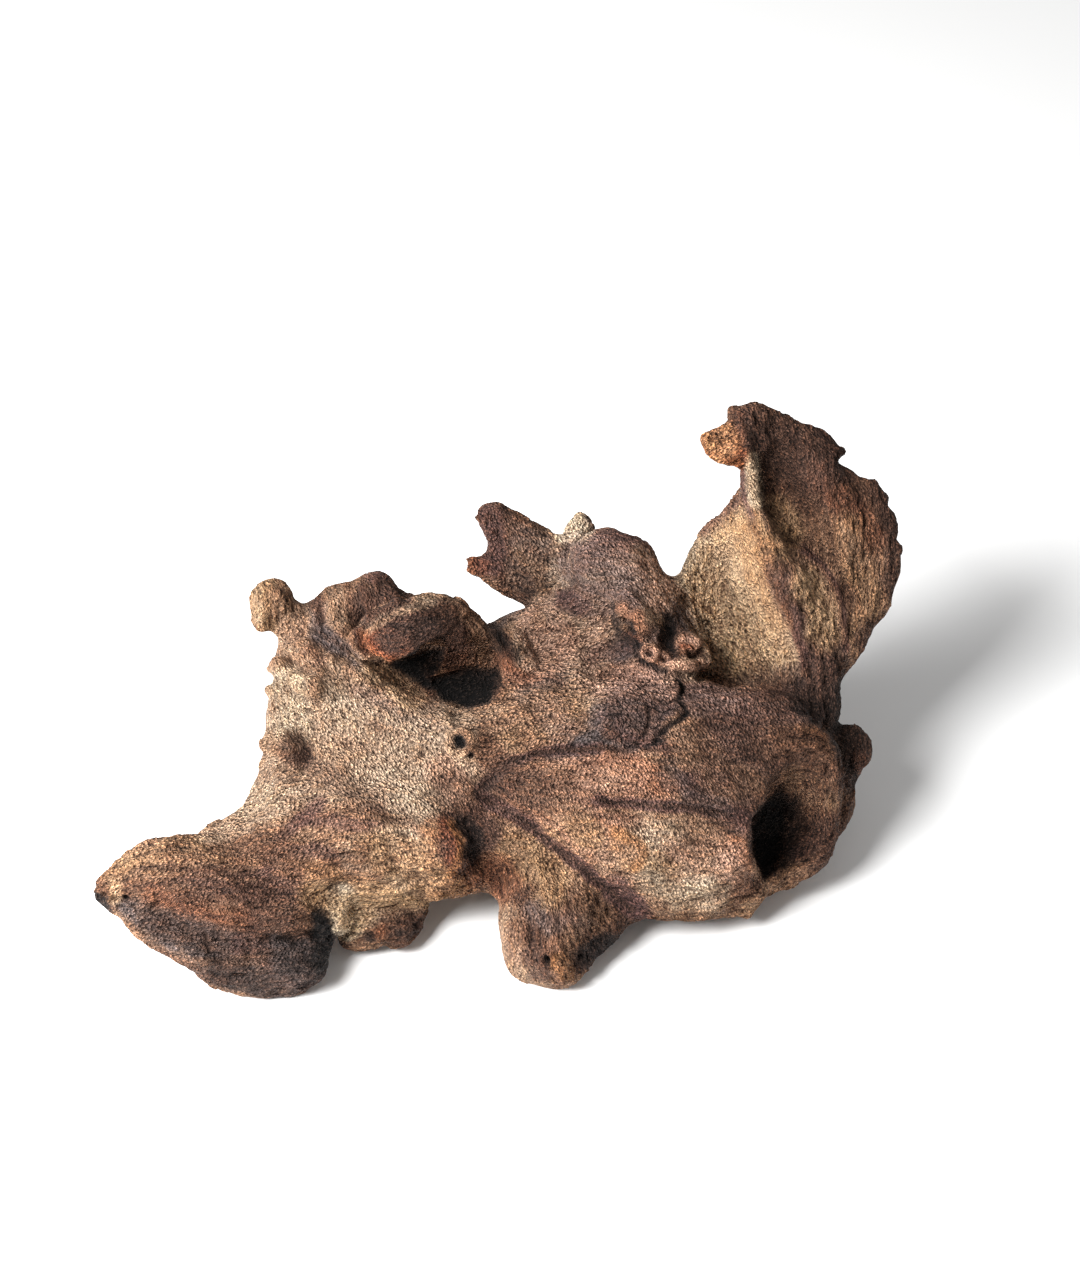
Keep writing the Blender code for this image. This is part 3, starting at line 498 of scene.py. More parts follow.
    ("slate", 0.7, 3, 3, [(940, 748), (1000, 744), (1100, 738)]),
    ("umber", 0.7, 5, 7, [(1250, 690), (1310, 720), (1350, 760)]),
    ("mauve", 0.5, 4, 5, [(1220, 640), (1270, 650), (1330, 640)]),
    ("umber", 0.7, 4, 5, [(1290, 600), (1370, 620), (1450, 620)]),
    ("umber", 0.95, 4, 8, [(1475, 580), (1490, 640), (1490, 700)]),
    ("umber", 0.7, 5, 7, [(1370, 670), (1420, 680), (1470, 700)]),
    ("soot_and_shade", 0.7, 4, 5, [(1440, 600), (1450, 650), (1500, 680)]),
    ("soot_and_shade", 0.7, 3, 3, [(1515, 590), (1518, 680)]),
    # slab, veins, belly
    ("salmon", 0.85, 4, 0, [(825, 825), (880, 775), (960, 752), (1110, 745), (1160, 770), (1205, 815), (1150, 840),
                            (1050, 838), (1040, 860), (1130, 880), (1220, 920), (1270, 960), (1290, 1040),
                            (1200, 1060), (1110, 1060), (1040, 980), (960, 920), (880, 880)]),
    ("brown", 0.5, 6, 7, [(840, 800), (880, 800), (860, 850)]),
    ("orange", 0.35, 4, 5, [(1060, 760), (1120, 780), (1180, 812)]),
    ("tan", 0.5, 5, 6, [(900, 800), (980, 800), (1060, 800)]),
    ("straw", 0.4, 4, 5, [(900, 830), (960, 860), (1000, 900)]),
    # the belly's pale patch, made paler as painted light where the belly faces down
    ("cream", 0.7, 8, 12, [(1150, 940), (1190, 980), (1270, 1030)]),
    ("straw", 0.6, 6, 7, [(1130, 1050), (1220, 1060), (1320, 1070)]),
    ("sand", 0.5, 5, 6, [(1060, 960), (1120, 1010), (1180, 1040)]),
    ("ochre", 0.7, 2, 2.2, [(1070, 905), (1115, 925), (1130, 950), (1112, 975)]),
    ("ochre", 0.4, 3, 4, [(1080, 930), (1100, 960)]),
    ("plum", 0.85, 1.8, 2.0, [(800, 822), (850, 775), (900, 752), (960, 738), (1040, 735)]),
    ("plum", 0.85, 2, 2.6, [(803, 833), (835, 852), (872, 872), (900, 888)]),
    ("plum", 0.9, 1.8, 2.0, [(895, 885), (905, 893), (940, 925), (978, 957), (1022, 993), (1065, 1028),
                             (1110, 1066)]),
    ("slate", 0.6, 2, 0, [(793, 826), (850, 775), (842, 800), (820, 825), (845, 862), (815, 850)]),
    ("plum", 0.9, 1.8, 2.4, [(1035, 842), (1120, 848), (1200, 853), (1300, 866), (1360, 880)]),
    ("umber", 0.75, 5, 0, [(1160, 760), (1220, 740), (1340, 740), (1400, 790), (1370, 850), (1350, 950), (1310, 920),
                           (1250, 880), (1200, 850), (1215, 815)]),
    ("plum", 0.6, 5, 7, [(1230, 800), (1300, 820), (1340, 880)]),
    ("slate", 0.4, 4, 5, [(1180, 790), (1210, 830), (1280, 850)]),
    ("brown", 0.5, 5, 6, [(1225, 680), (1215, 740)]),
    ("orange", 0.4, 4, 4, [(1305, 930), (1325, 960)]),
    ("sand", 0.7, 5, 6, [(1270, 950), (1300, 985), (1300, 1020), (1270, 1045)]),
    ("cream", 0.5, 5, 6, [(1150, 1000), (1220, 1020), (1280, 1030)]),
    ("umber", 0.7, 3, 3, [(1330, 1000), (1345, 1015)]),
    ("tan", 0.6, 4, 5, [(1230, 1060), (1320, 1070)]),
    ("salmon", 0.5, 4, 4, [(1280, 1030), (1300, 1050)]),
    ("brown", 0.5, 4, 3, [(1110, 1075), (1180, 1080), (1280, 1085)]),
    # bowl and the right side; the dark inside the bowl is painted shade
    ("brown", 0.8, 5, 0, [(1380, 700), (1500, 690), (1535, 760), (1540, 880), (1500, 980), (1400, 1010), (1350, 950),
                          (1345, 860), (1390, 790)]),
    ("ochre", 0.4, 4, 5, [(1390, 735), (1450, 715), (1505, 745)]),
    ("umber", 0.6, 4, 4, [(1330, 740), (1370, 745), (1400, 770)]),
    ("umber", 0.8, 2.5, 1.8, [(1392, 770), (1420, 762), (1450, 758)]),
    ("tan", 0.8, 4, 5.5, [(1430, 795), (1470, 825), (1500, 865)]),
    ("straw", 0.5, 3, 3, [(1440, 780), (1480, 795), (1510, 835)]),
    ("brown", 0.7, 5, 6, [(1460, 880), (1485, 900)]),
    ("umber", 0.7, 5, 6, [(1440, 900), (1435, 935), (1465, 925)]),
    # painted shade inside the bowl
    ("soot_and_shade", 0.85, 6, 0, [(1405, 812), (1370, 848), (1345, 880), (1345, 940), (1365, 1000), (1395, 990), (1430, 950),
                          (1442, 890), (1436, 838)]),
    ("black", 0.95, 4, 0, [(1392, 828), (1358, 865), (1344, 895), (1348, 950), (1372, 995), (1392, 955), (1405, 890),
                           (1412, 850)]),
    ("plum", 0.4, 4, 4, [(1440, 945), (1480, 920), (1500, 890)]),
    ("tan", 0.55, 3, 2.4, [(1385, 1005), (1430, 978), (1475, 955), (1498, 930)]),
    ("umber", 0.8, 4, 6, [(1550, 700), (1575, 740), (1555, 790)]),
    ("rust", 0.4, 3, 3, [(1560, 720), (1560, 770)]),
    ("soot_and_shade", 0.8, 4, 4, [(1518, 700), (1525, 750), (1540, 800)]),
    ("umber", 0.6, 4, 5, [(1540, 850), (1520, 930), (1490, 985)]),
    # fin: the cream on the disc's lower left is painted light where the dome's shadow falls, the cream on the lip a
    # painted highlight on its crest, and the dark beside the lip painted shade
    ("sand", 0.9, 5, 0, [(1195, 390), (1240, 310), (1320, 250), (1345, 310), (1370, 380), (1420, 480), (1450, 590),
                         (1400, 610), (1290, 605), (1240, 540), (1200, 450)]),
    ("straw", 0.8, 6, 0, [(1205, 390), (1240, 310), (1320, 250), (1345, 310), (1370, 400), (1300, 420), (1230, 460)]),
    ("ochre", 0.35, 4, 4, [(1330, 290), (1355, 350), (1375, 400)]),
    # painted light where the dome's shadow falls on the disc
    ("cream", 0.9, 6, 0, [(1245, 440), (1300, 400), (1345, 480), (1370, 600), (1310, 605), (1270, 520)]),
    ("cream", 0.4, 5, 6, [(1330, 440), (1390, 540)]),
    ("brown", 0.6, 3, 3, [(1300, 605), (1350, 606), (1400, 600)]),
    ("umber", 0.6, 2, 1.6, [(1250, 310), (1262, 316)]),
    ("brown", 0.6, 4, 3, [(1238, 400), (1252, 440), (1248, 480)]),
    ("plum", 0.5, 3, 2.5, [(1250, 305), (1290, 265), (1320, 240)]),
    ("brown", 0.85, 5, 0, [(1310, 60), (1340, 45), (1500, 95), (1530, 140), (1610, 200), (1645, 330), (1620, 460),
                           (1540, 570), (1450, 600), (1380, 330), (1330, 200)]),
    ("umber", 0.75, 7, 0, [(1330, 50), (1380, 50), (1530, 120), (1560, 190), (1500, 200), (1440, 240),
                           (1410, 320), (1385, 300), (1365, 220), (1340, 130)]),
    ("brown", 0.8, 7, 8, [(1400, 240), (1430, 300), (1480, 330)]),
    ("tan", 0.6, 7, 8, [(1450, 310), (1500, 350), (1545, 310)]),
    ("umber", 0.45, 7, 9, [(1440, 110), (1480, 170), (1520, 220)]),
    ("umber", 0.5, 5, 5, [(1590, 220), (1620, 290), (1625, 380)]),
    ("tan", 0.7, 6, 7, [(1600, 350), (1600, 420), (1570, 480), (1545, 540)]),
    ("straw", 0.5, 5, 5, [(1560, 380), (1580, 440), (1550, 510)]),
    ("rust", 0.35, 4, 5, [(1480, 190), (1540, 260), (1590, 320)]),
    ("umber", 0.6, 3, 2.2, [(1600, 210), (1640, 300), (1645, 350)]),
    ("tan", 0.75, 3, 0, [(1350, 335), (1400, 335), (1450, 360), (1490, 410), (1480, 440), (1420, 400), (1380, 380)]),
    ("mauve", 0.75, 3, 0, [(1385, 385), (1430, 405), (1490, 430), (1525, 480), (1535, 560), (1470, 600), (1445, 545),
                           (1415, 470)]),
    ("plum", 0.5, 4, 5, [(1410, 420), (1450, 480), (1480, 550)]),
    ("tan", 0.8, 5, 6, [(1450, 420), (1485, 460), (1495, 520)]),
    ("plum", 0.9, 2, 1.5, [(1352, 340), (1385, 400), (1412, 465), (1440, 530), (1450, 570)]),
    ("plum", 0.9, 2, 1.7, [(1400, 325), (1450, 342), (1495, 390), (1520, 450), (1530, 530)]),
    ("ochre", 0.8, 2.5, 2.6, [(1343, 150), (1350, 220), (1362, 290), (1390, 335)]),
    ("cream", 0.6, 2, 1.5, [(1344, 170), (1352, 240), (1368, 310)]),
    ("plum", 0.8, 2, 1.5, [(1322, 140), (1330, 210), (1342, 290), (1356, 335)]),
    # painted shade to the right of the lip
    ("umber", 0.85, 2.5, 2.2, [(1328, 70), (1345, 130), (1358, 200), (1372, 270), (1395, 310)]),
    ("rust", 0.6, 3, 2.5, [(1312, 70), (1316, 110), (1326, 160)]),
    ("brown", 0.6, 3, 3, [(1300, 60), (1305, 85)]),
    ("ochre", 0.7, 3, 4.5, [(1262, 118), (1285, 108), (1305, 130)]),
    ("orange", 0.5, 2.5, 2.2, [(1262, 132), (1290, 142), (1310, 160)]),
    # painted shade inside the small hole of the hook
    ("black", 0.8, 1.4, 1.0, [(1260, 112), (1263, 118)]),
    ("soot_and_shade", 0.8, 1.4, 0.9, [(1270, 98), (1276, 100)]),
    ("rust", 0.6, 2, 2.0, [(1255, 135), (1290, 152), (1320, 172)]),
    ("umber", 0.6, 1.5, 1.2, [(1262, 105), (1275, 118), (1270, 135)]),
    ("umber", 0.8, 3, 3, [(1490, 110), (1530, 135)]),
    # stub: the dark on its right side is painted shade, and so is the black in its small hole
    ("straw", 0.6, 5, 7, [(860, 935), (900, 975), (940, 995)]),
    ("rust", 0.45, 5, 6, [(790, 980), (830, 975), (850, 1010)]),
    ("brown", 0.85, 5, 0, [(855, 1020), (950, 1005), (1060, 1030), (1105, 1075), (1080, 1120), (1010, 1180),
                           (950, 1215), (900, 1190), (885, 1110)]),
    ("sand", 0.6, 4, 5, [(860, 1075), (868, 1130), (885, 1180)]),
    ("salmon", 0.4, 4, 4, [(870, 1100), (880, 1150)]),
    ("umber", 0.5, 4, 5, [(890, 1045), (950, 1040), (1020, 1060)]),
    ("mauve", 0.6, 4, 5, [(905, 1070), (950, 1085), (1000, 1085)]),
    ("slate", 0.5, 4, 4, [(910, 1060), (935, 1090)]),
    ("umber", 0.8, 3, 3.5, [(905, 1110), (918, 1140), (925, 1160)]),
    ("salmon", 0.6, 3, 2.6, [(945, 1130), (960, 1125)]),
    ("umber", 0.75, 4, 5, [(1085, 1085), (1040, 1120), (1000, 1160)]),
    ("tan", 0.6, 6, 6, [(1010, 1040), (1040, 1075)]),
    ("tan", 0.6, 4, 4, [(985, 1110), (985, 1135)]),
    ("plum", 0.9, 3, 3, [(1060, 1030), (1100, 1058), (1130, 1068)]),
    ("brown", 0.5, 3, 4, [(1130, 1045), (1160, 1060)]),
    ("soot_and_shade", 0.8, 3, 3, [(1060, 1125), (1015, 1150)]),
    ("ochre", 0.75, 2.5, 3.6, [(960, 1165), (972, 1182)]),
    ("tan", 0.5, 2, 2.0, [(965, 1160), (975, 1180)]),
    ("black", 0.9, 1.2, 1.4, [(934, 1158), (936, 1164)]),
    ("sand", 0.6, 3, 3, [(890, 1190), (925, 1208)]),
    # dark lines in the veins, and painted shade in the creases
    ("umber", 0.7, 1.0, 0.9, [(800, 822), (850, 775), (900, 752), (960, 738), (1040, 735), (1090, 738)]),
    ("umber", 0.85, 1.2, 1.5, [(803, 833), (835, 852), (872, 872), (905, 893), (940, 925), (978, 957), (1022, 993),
                               (1065, 1028), (1102, 1060)]),
    ("umber", 0.7, 1.0, 1.0, [(1045, 842), (1120, 848), (1200, 853), (1290, 866)]),
    ("umber", 0.5, 1.0, 0.9, [(470, 500), (520, 530), (560, 570), (600, 600), (650, 628), (715, 650)]),
    ("umber", 0.6, 1.0, 0.8, [(400, 945), (470, 945), (540, 965), (600, 985), (680, 1000)]),
    ("umber", 0.5, 1.0, 0.7, [(70, 990), (170, 972), (260, 984), (350, 985), (420, 1000)]),
    ("umber", 0.5, 1.0, 0.7, [(110, 1015), (200, 1000), (280, 1010), (360, 1020), (430, 1050)]),
    ("tan", 0.5, 1.0, 0.7, [(100, 1003), (190, 986), (270, 996), (350, 1002)]),
    ("umber", 0.6, 1.0, 0.7, [(1352, 340), (1385, 400), (1412, 465), (1440, 530), (1450, 570)]),
    ("umber", 0.6, 1.0, 0.8, [(1400, 325), (1450, 342), (1495, 390), (1520, 450), (1530, 530)]),
    # small corrections of light and dark: many are painted light, paler where the surface lies in shade and darker
    # where shade falls, and some are the wood's colour
    # painted light on the disc, where the dome's shadow falls
    ("straw", 0.55, 7, 0, [(1210, 390), (1250, 320), (1330, 260), (1350, 330), (1400, 470), (1430, 560), (1300, 590),
                           (1250, 500)]),
    ("cream", 0.7, 5, 7, [(1225, 380), (1265, 360), (1290, 440), (1270, 480)]),
    # painted shade under the lobe
    ("soot_and_shade", 0.6, 4, 5, [(618, 512), (650, 500), (690, 498)]),
    ("rust", 0.6, 3, 3.5, [(592, 505), (600, 530), (622, 545)]),
    ("umber", 0.7, 4, 5.5, [(630, 480), (700, 500), (745, 510)]),
    ("sand", 0.7, 2.5, 2.2, [(572, 498), (600, 476), (650, 452), (700, 440)]),
    ("umber", 0.6, 4, 5, [(620, 430), (640, 440)]),
    ("sand", 0.8, 5, 6, [(425, 455), (430, 490), (420, 515)]),
    ("sand", 0.8, 4, 5, [(425, 565), (445, 580)]),
    ("sand", 0.8, 5, 8, [(400, 610), (430, 660), (420, 700)]),
    ("sand", 0.8, 4, 5, [(580, 575), (620, 600), (660, 630)]),
    ("cream", 0.6, 6, 7, [(500, 640), (560, 680), (690, 720)]),
    ("sand", 0.8, 4, 4, [(510, 435), (514, 475)]),
    ("cream", 0.7, 5, 7, [(560, 950), (640, 930), (650, 980)]),
    # painted light on the leg's lower edge, where the surface lies in a hollow
    ("pale", 0.9, 3, 5, [(528, 1035), (530, 1085)]),
    ("straw", 0.8, 4, 4, [(560, 1030), (690, 1040)]),
    ("cream", 0.6, 4, 5, [(640, 850), (690, 870)]),
    # painted shade in the recess beside the foot
    ("soot_and_shade", 0.6, 4, 7, [(405, 1090), (430, 1140), (480, 1165)]),
    ("black", 0.9, 3, 4, [(480, 1080), (490, 1130), (480, 1160)]),
    # painted shade beside the big nub
    ("umber", 0.5, 5, 6, [(720, 950), (770, 920), (740, 1000)]),
    ("brown", 0.5, 4, 4, [(385, 950), (405, 940)]),
    ("soot_and_shade", 0.8, 2.5, 3, [(38, 1045), (50, 1055)]),
    ("straw", 0.8, 5, 6, [(930, 930), (945, 1000), (940, 1030)]),
    ("straw", 0.7, 5, 6, [(1000, 885), (1020, 910)]),
    # painted light where the shoulder, the dome's right side and the knob lie in shade
    ("sand", 0.8, 5, 6, [(890, 500), (905, 550), (930, 470)]),
    ("sand", 0.7, 5, 7, [(1000, 470), (1050, 480), (1010, 570), (1020, 620)]),
    ("sand", 0.7, 5, 6, [(1040, 395), (1100, 385), (1150, 420)]),
    ("sand", 0.8, 4, 5, [(960, 340), (962, 390)]),
    ("sand", 0.8, 3, 4, [(1215, 580), (1250, 576)]),
    ("mauve", 0.6, 5, 6, [(1080, 615), (1150, 610), (1230, 650)]),
    ("straw", 0.8, 5, 6, [(1395, 260), (1420, 300), (1400, 330)]),
    ("straw", 0.5, 5, 5, [(1540, 290), (1550, 380)]),
    ("umber", 0.9, 3, 6, [(1500, 105), (1528, 130), (1530, 175)]),
    ("umber", 0.9, 3, 5, [(1605, 205), (1630, 270), (1640, 340), (1630, 410)]),
    ("umber", 0.8, 3, 5, [(1590, 500), (1575, 520)]),
    ("umber", 0.6, 5, 7, [(1370, 720), (1440, 740), (1500, 800)]),
    ("soot_and_shade", 0.5, 5, 6, [(1500, 550), (1510, 620)]),
    ("umber", 0.6, 4, 5, [(1480, 900), (1490, 940)]),
    ("brown", 0.6, 4, 5, [(815, 735), (825, 755)]),
    ("brown", 0.5, 4, 4, [(895, 710), (900, 720)]),
    ("plum", 0.8, 3, 4, [(1095, 1045), (1115, 1055)]),
    ("brown", 0.7, 4, 4, [(1315, 1018), (1325, 1028)]),
    ("salmon", 0.6, 6, 8, [(1200, 960), (1290, 960), (1310, 1000)]),
    ("pale", 0.5, 6, 6, [(1230, 1020), (1270, 1030)]),
    ("umber", 0.5, 3, 3, [(1080, 1100), (1060, 1110)]),
    ("rust", 0.5, 3, 6, [(610, 510), (640, 515)]),
    ("umber", 0.6, 4, 6, [(640, 490), (680, 480), (740, 500)]),
    ("umber", 0.6, 3, 5, [(620, 425), (615, 445)]),
    ("brown", 0.5, 3, 4, [(540, 440), (545, 460)]),
    ("soot_and_shade", 0.7, 3, 3, [(825, 505), (850, 535), (880, 550)]),
    ("umber", 0.6, 4, 5, [(905, 325), (930, 330)]),
    ("umber", 0.6, 4, 4, [(850, 410), (880, 440)]),
    ("slate", 0.35, 5, 8, [(900, 330), (900, 390)]),
    ("brown", 0.7, 4, 5, [(812, 735), (825, 750)]),
    ("umber", 0.4, 6, 8, [(850, 800), (900, 820), (1000, 835)]),
    ("plum", 0.7, 4, 5, [(795, 875), (815, 915)]),
    ("brown", 0.5, 4, 4, [(885, 865), (905, 875)]),
    ("brown", 0.5, 5, 5, [(755, 810), (770, 850)]),
    ("brown", 0.3, 6, 6, [(570, 710), (660, 740), (580, 800), (650, 810)]),
    ("brown", 0.5, 4, 5, [(405, 725), (430, 755)]),
    ("sand", 0.6, 4, 4, [(385, 775), (400, 795)]),
    # painted shade on the right of the big nub
    ("umber", 0.4, 4, 4, [(740, 915), (750, 950), (742, 980)]),
    ("umber", 0.7, 4, 5, [(795, 890), (805, 915)]),
    ("sand", 0.8, 5, 7, [(635, 925), (645, 975), (690, 1000)]),
    ("cream", 0.9, 4, 6, [(525, 1040), (532, 1085)]),
    ("black", 0.8, 3, 3, [(480, 1070), (490, 1085)]),
    ("umber", 0.5, 3, 4, [(620, 1075), (680, 1078)]),
    ("umber", 0.55, 4, 9, [(370, 1120), (430, 1145), (480, 1170)]),
    ("brown", 0.5, 4, 5, [(380, 1075), (430, 1090)]),
    ("umber", 0.4, 5, 6, [(210, 1020), (290, 1010)]),
    ("umber", 0.5, 3, 4, [(130, 1060), (155, 1090)]),
    ("umber", 0.4, 3, 3, [(280, 1172), (320, 1172)]),
    ("brown", 0.5, 4, 5, [(330, 940), (400, 950)]),
    ("straw", 0.7, 4, 4, [(185, 925), (230, 930)]),
    ("straw", 0.6, 4, 4, [(60, 985), (90, 970)]),
    ("tan", 0.7, 4, 6, [(420, 450), (430, 500)]),
    ("tan", 0.7, 4, 5, [(425, 570), (440, 575)]),
    ("tan", 0.8, 4, 5, [(410, 625), (460, 640)]),
    ("sand", 0.5, 5, 7, [(400, 670), (470, 680)]),
    ("tan", 0.5, 4, 4, [(510, 440), (515, 475)]),
    ("salmon", 0.8, 3, 3.5, [(585, 565), (620, 590), (660, 620), (700, 640)]),
    ("sand", 0.6, 5, 6, [(710, 670), (760, 690)]),
    # painted light where the shoulder and the dome's right side lie in shade
    ("sand", 0.7, 5, 6, [(930, 455), (945, 500), (905, 540)]),
    ("sand", 0.7, 5, 6, [(1050, 470), (1010, 560), (1030, 600)]),
    ("sand", 0.8, 4, 6, [(1140, 380), (1155, 430), (1150, 460)]),
    ("sand", 0.8, 3, 4, [(1180, 585), (1240, 580)]),
    ("pale", 0.9, 3, 5, [(985, 305), (1000, 300)]),
    ("cream", 0.8, 5, 8, [(1225, 380), (1260, 350), (1285, 400)]),
    # painted highlight on the lip's crest
    ("cream", 0.9, 2, 3, [(1345, 160), (1352, 240)]),
    ("straw", 0.8, 4, 5, [(1335, 300), (1345, 360)]),
    ("mauve", 0.5, 4, 5, [(1240, 625), (1290, 640)]),
    ("tan", 0.6, 5, 6, [(1200, 700), (1215, 750)]),
    ("umber", 0.5, 4, 4, [(1385, 365), (1425, 425)]),
    ("tan", 0.6, 4, 4, [(1455, 400), (1475, 430)]),
    ("brown", 0.6, 4, 4, [(1335, 535), (1355, 580)]),
    ("umber", 0.7, 4, 5, [(1480, 565), (1510, 580)]),
    ("umber", 0.5, 5, 6, [(1430, 600), (1480, 610)]),
    ("brown", 0.5, 5, 7, [(1380, 720), (1460, 750), (1490, 780)]),
    ("umber", 0.8, 4, 5, [(1550, 715), (1560, 740)]),
    ("umber", 0.4, 5, 6, [(1490, 890), (1470, 940)]),
    ("umber", 0.9, 3, 5, [(1505, 110), (1525, 130), (1525, 175)]),
    ("umber", 0.8, 3, 4, [(1600, 210), (1625, 260), (1635, 340)]),
    ("ochre", 0.7, 3, 3, [(1260, 140), (1310, 165)]),
    ("tan", 0.6, 5, 5, [(1545, 340), (1560, 360)]),
    ("brown", 0.5, 4, 4, [(1460, 280), (1468, 300)]),
    ("plum", 0.8, 3, 4, [(1070, 1010), (1105, 1050)]),
    ("umber", 0.8, 3, 4, [(905, 1150), (920, 1185)]),
    ("brown", 0.5, 4, 4, [(878, 1080), (885, 1095)]),
    ("slate", 0.4, 6, 8, [(990, 370), (1050, 400)]),
    # the disc's warm wood, with painted light where the dome's shadow falls
    ("buff", 0.75, 7, 0, [(1205, 395), (1245, 318), (1325, 255), (1350, 330), (1400, 470), (1430, 560), (1300, 592),
                          (1262, 500)]),
    ("ochre", 0.3, 5, 5, [(1335, 300), (1370, 400), (1400, 480)]),
    ("rust", 0.5, 3, 5, [(600, 505), (612, 530), (640, 525)]),
    # painted shade under the lobe
    ("umber", 0.85, 4, 7, [(628, 512), (690, 495), (745, 515)]),
    ("soot_and_shade", 0.35, 4, 5, [(630, 515), (660, 505), (700, 500)]),
    # painted shade in the crease above the lobe, and a painted highlight along its upper edge
    ("umber", 0.8, 1.6, 1.6, [(655, 434), (625, 452), (590, 474), (566, 494), (560, 520), (572, 545)]),
    ("sand", 0.75, 2, 1.8, [(574, 502), (602, 480), (650, 458), (700, 446)]),
    ("orange", 0.6, 2, 1.6, [(568, 505), (574, 535), (600, 556), (625, 558)]),
    ("umber", 0.75, 4, 6, [(565, 460), (600, 445), (628, 430)]),
    ("tan", 0.8, 3, 3, [(775, 470), (800, 505), (805, 545)]),
    # painted shade on the foot's underside and in its recess
    ("slate", 0.85, 5, 0, [(385, 1108), (450, 1118), (500, 1140), (508, 1185), (450, 1218), (385, 1205)]),
    ("soot_and_shade", 0.5, 5, 0, [(395, 1108), (450, 1108), (500, 1130), (508, 1190), (450, 1210), (400, 1180)]),
    ("umber", 0.5, 4, 4, [(270, 1185), (340, 1200), (400, 1210)]),
    ("black", 0.9, 3, 4, [(482, 1072), (492, 1130), (484, 1165)]),
    ("brown", 0.5, 5, 6, [(395, 1070), (430, 1085)]),
    # painted light on the leg's lower edge, where the surface lies in a hollow
    ("pale", 0.9, 3, 5.5, [(522, 1035), (533, 1090)]),
    ("straw", 0.7, 5, 5, [(470, 1030), (500, 1045)]),
    ("cream", 0.8, 5, 7, [(415, 610), (430, 660), (425, 700)]),
    ("buff", 0.7, 4, 5, [(590, 580), (625, 605), (665, 635)]),
    ("blush", 0.6, 5, 6, [(900, 500), (930, 470), (960, 540), (920, 560)]),
    ("blush", 0.5, 5, 5, [(1045, 480), (1010, 570), (1030, 610)]),
    ("blush", 0.7, 4, 5, [(1135, 375), (1158, 415), (1160, 440)]),
    ("mauve", 0.6, 5, 7, [(990, 360), (1060, 350), (1100, 430), (1030, 440)]),
    ("blush", 0.4, 6, 7, [(1020, 790), (1100, 790)]),
    ("umber", 0.5, 5, 7, [(850, 790), (880, 810), (910, 825)]),
    ("blush", 0.6, 5, 5, [(1305, 955), (1310, 975)]),
    ("plum", 0.45, 6, 4, [(1035, 552), (1075, 535), (1100, 530)]),
    ("plum", 0.7, 4, 4, [(970, 438), (1000, 455)]),
    ("blush", 0.5, 5, 6, [(1060, 610), (1120, 600), (1180, 615)]),
    # painted shade right of the big nub
    ("umber", 0.5, 5, 7, [(740, 960), (770, 920), (810, 900)]),
    # painted shade on the right side of the left nub
    ("umber", 0.7, 4, 5, [(425, 728), (440, 750)]),
    ("umber", 0.5, 4, 5, [(1400, 400), (1420, 430)]),
    ("umber", 0.5, 4, 4, [(370, 1070), (400, 1085)]),
    ("buff", 0.8, 4, 5, [(545, 1050), (545, 1080)]),
    ("ochre", 0.4, 5, 7, [(580, 940), (650, 960), (700, 1000), (750, 1025)]),
    ("umber", 0.5, 5, 8, [(1400, 130), (1470, 180), (1500, 160)]),
    ("orange", 0.6, 3, 5, [(1262, 118), (1290, 130), (1310, 150)]),
    ("ochre", 0.6, 2, 2, [(1256, 108), (1262, 130)]),
    ("tan", 0.85, 5, 7, [(1455, 405), (1480, 450), (1490, 510)]),
    ("umber", 0.6, 5, 6, [(1330, 60), (1350, 110)]),
    ("tan", 0.6, 5, 7, [(1210, 700), (1240, 740), (1290, 800), (1330, 810)]),
    ("tan", 0.5, 5, 6, [(880, 655), (940, 640), (990, 630)]),
    ("brown", 0.6, 5, 5, [(555, 960), (550, 940)]),
    ("straw", 0.6, 4, 4, [(1150, 960), (1180, 980)]),
    # painted shadow in a crescent round the right side of the big nub
    ("soot_and_shade", 0.8, 3, 3.2, [(765, 888), (786, 902), (793, 925), (780, 945)]),
    ("rust", 0.6, 3, 2.6, [(728, 895), (748, 930), (742, 975)]),
    ("ochre", 0.7, 2, 1.6, [(742, 888), (762, 922), (758, 962), (735, 992)]),
    ("straw", 0.6, 4, 4, [(700, 905), (692, 950), (715, 985)]),
    ("buff", 0.8, 5, 6, [(1458, 408), (1480, 450), (1488, 500)]),
    ("buff", 0.4, 4, 5, [(1262, 118), (1290, 130)]),
    ("soot_and_shade", 0.45, 5, 5, [(270, 1185), (340, 1200)]),
    ("soot_and_shade", 0.8, 3, 5, [(1062, 1128), (1020, 1154)]),
    ("umber", 0.35, 6, 8, [(750, 820), (770, 850)]),
    ("brown", 0.5, 5, 6, [(200, 955), (300, 965)]),
    ("brown", 0.3, 5, 5, [(1110, 940)]),
    ("soot_and_shade", 0.5, 4, 5, [(1550, 725)]),
    ("umber", 0.3, 5, 6, [(900, 370)]),
    ("umber", 0.35, 7, 12, [(1400, 90), (1450, 200)]),
    ("umber", 0.3, 7, 12, [(1290, 720)]),
    ("buff", 0.6, 2.5, 3, [(70, 1012), (74, 1036)]),
    ("blush", 0.5, 5, 7, [(930, 520), (965, 520)]),
    ("buff", 0.4, 6, 8, [(590, 1020), (620, 1020)]),
    ("pale", 0.3, 7, 10, [(600, 790), (640, 805)]),
    # the veins, drawn last so that they stay sharp
    ("plum", 0.75, 1.6, 1.9, [(803, 833), (835, 852), (872, 872), (905, 893), (940, 925), (978, 957), (1022, 993),
                              (1065, 1028), (1110, 1066)]),
    ("umber", 0.7, 1.2, 1.2, [(803, 833), (835, 852), (872, 872), (905, 893), (940, 925), (978, 957), (1022, 993),
                              (1065, 1028), (1105, 1062)]),
    ("umber", 0.7, 1.2, 1.2, [(800, 822), (850, 775), (900, 752), (960, 738), (1040, 735)]),
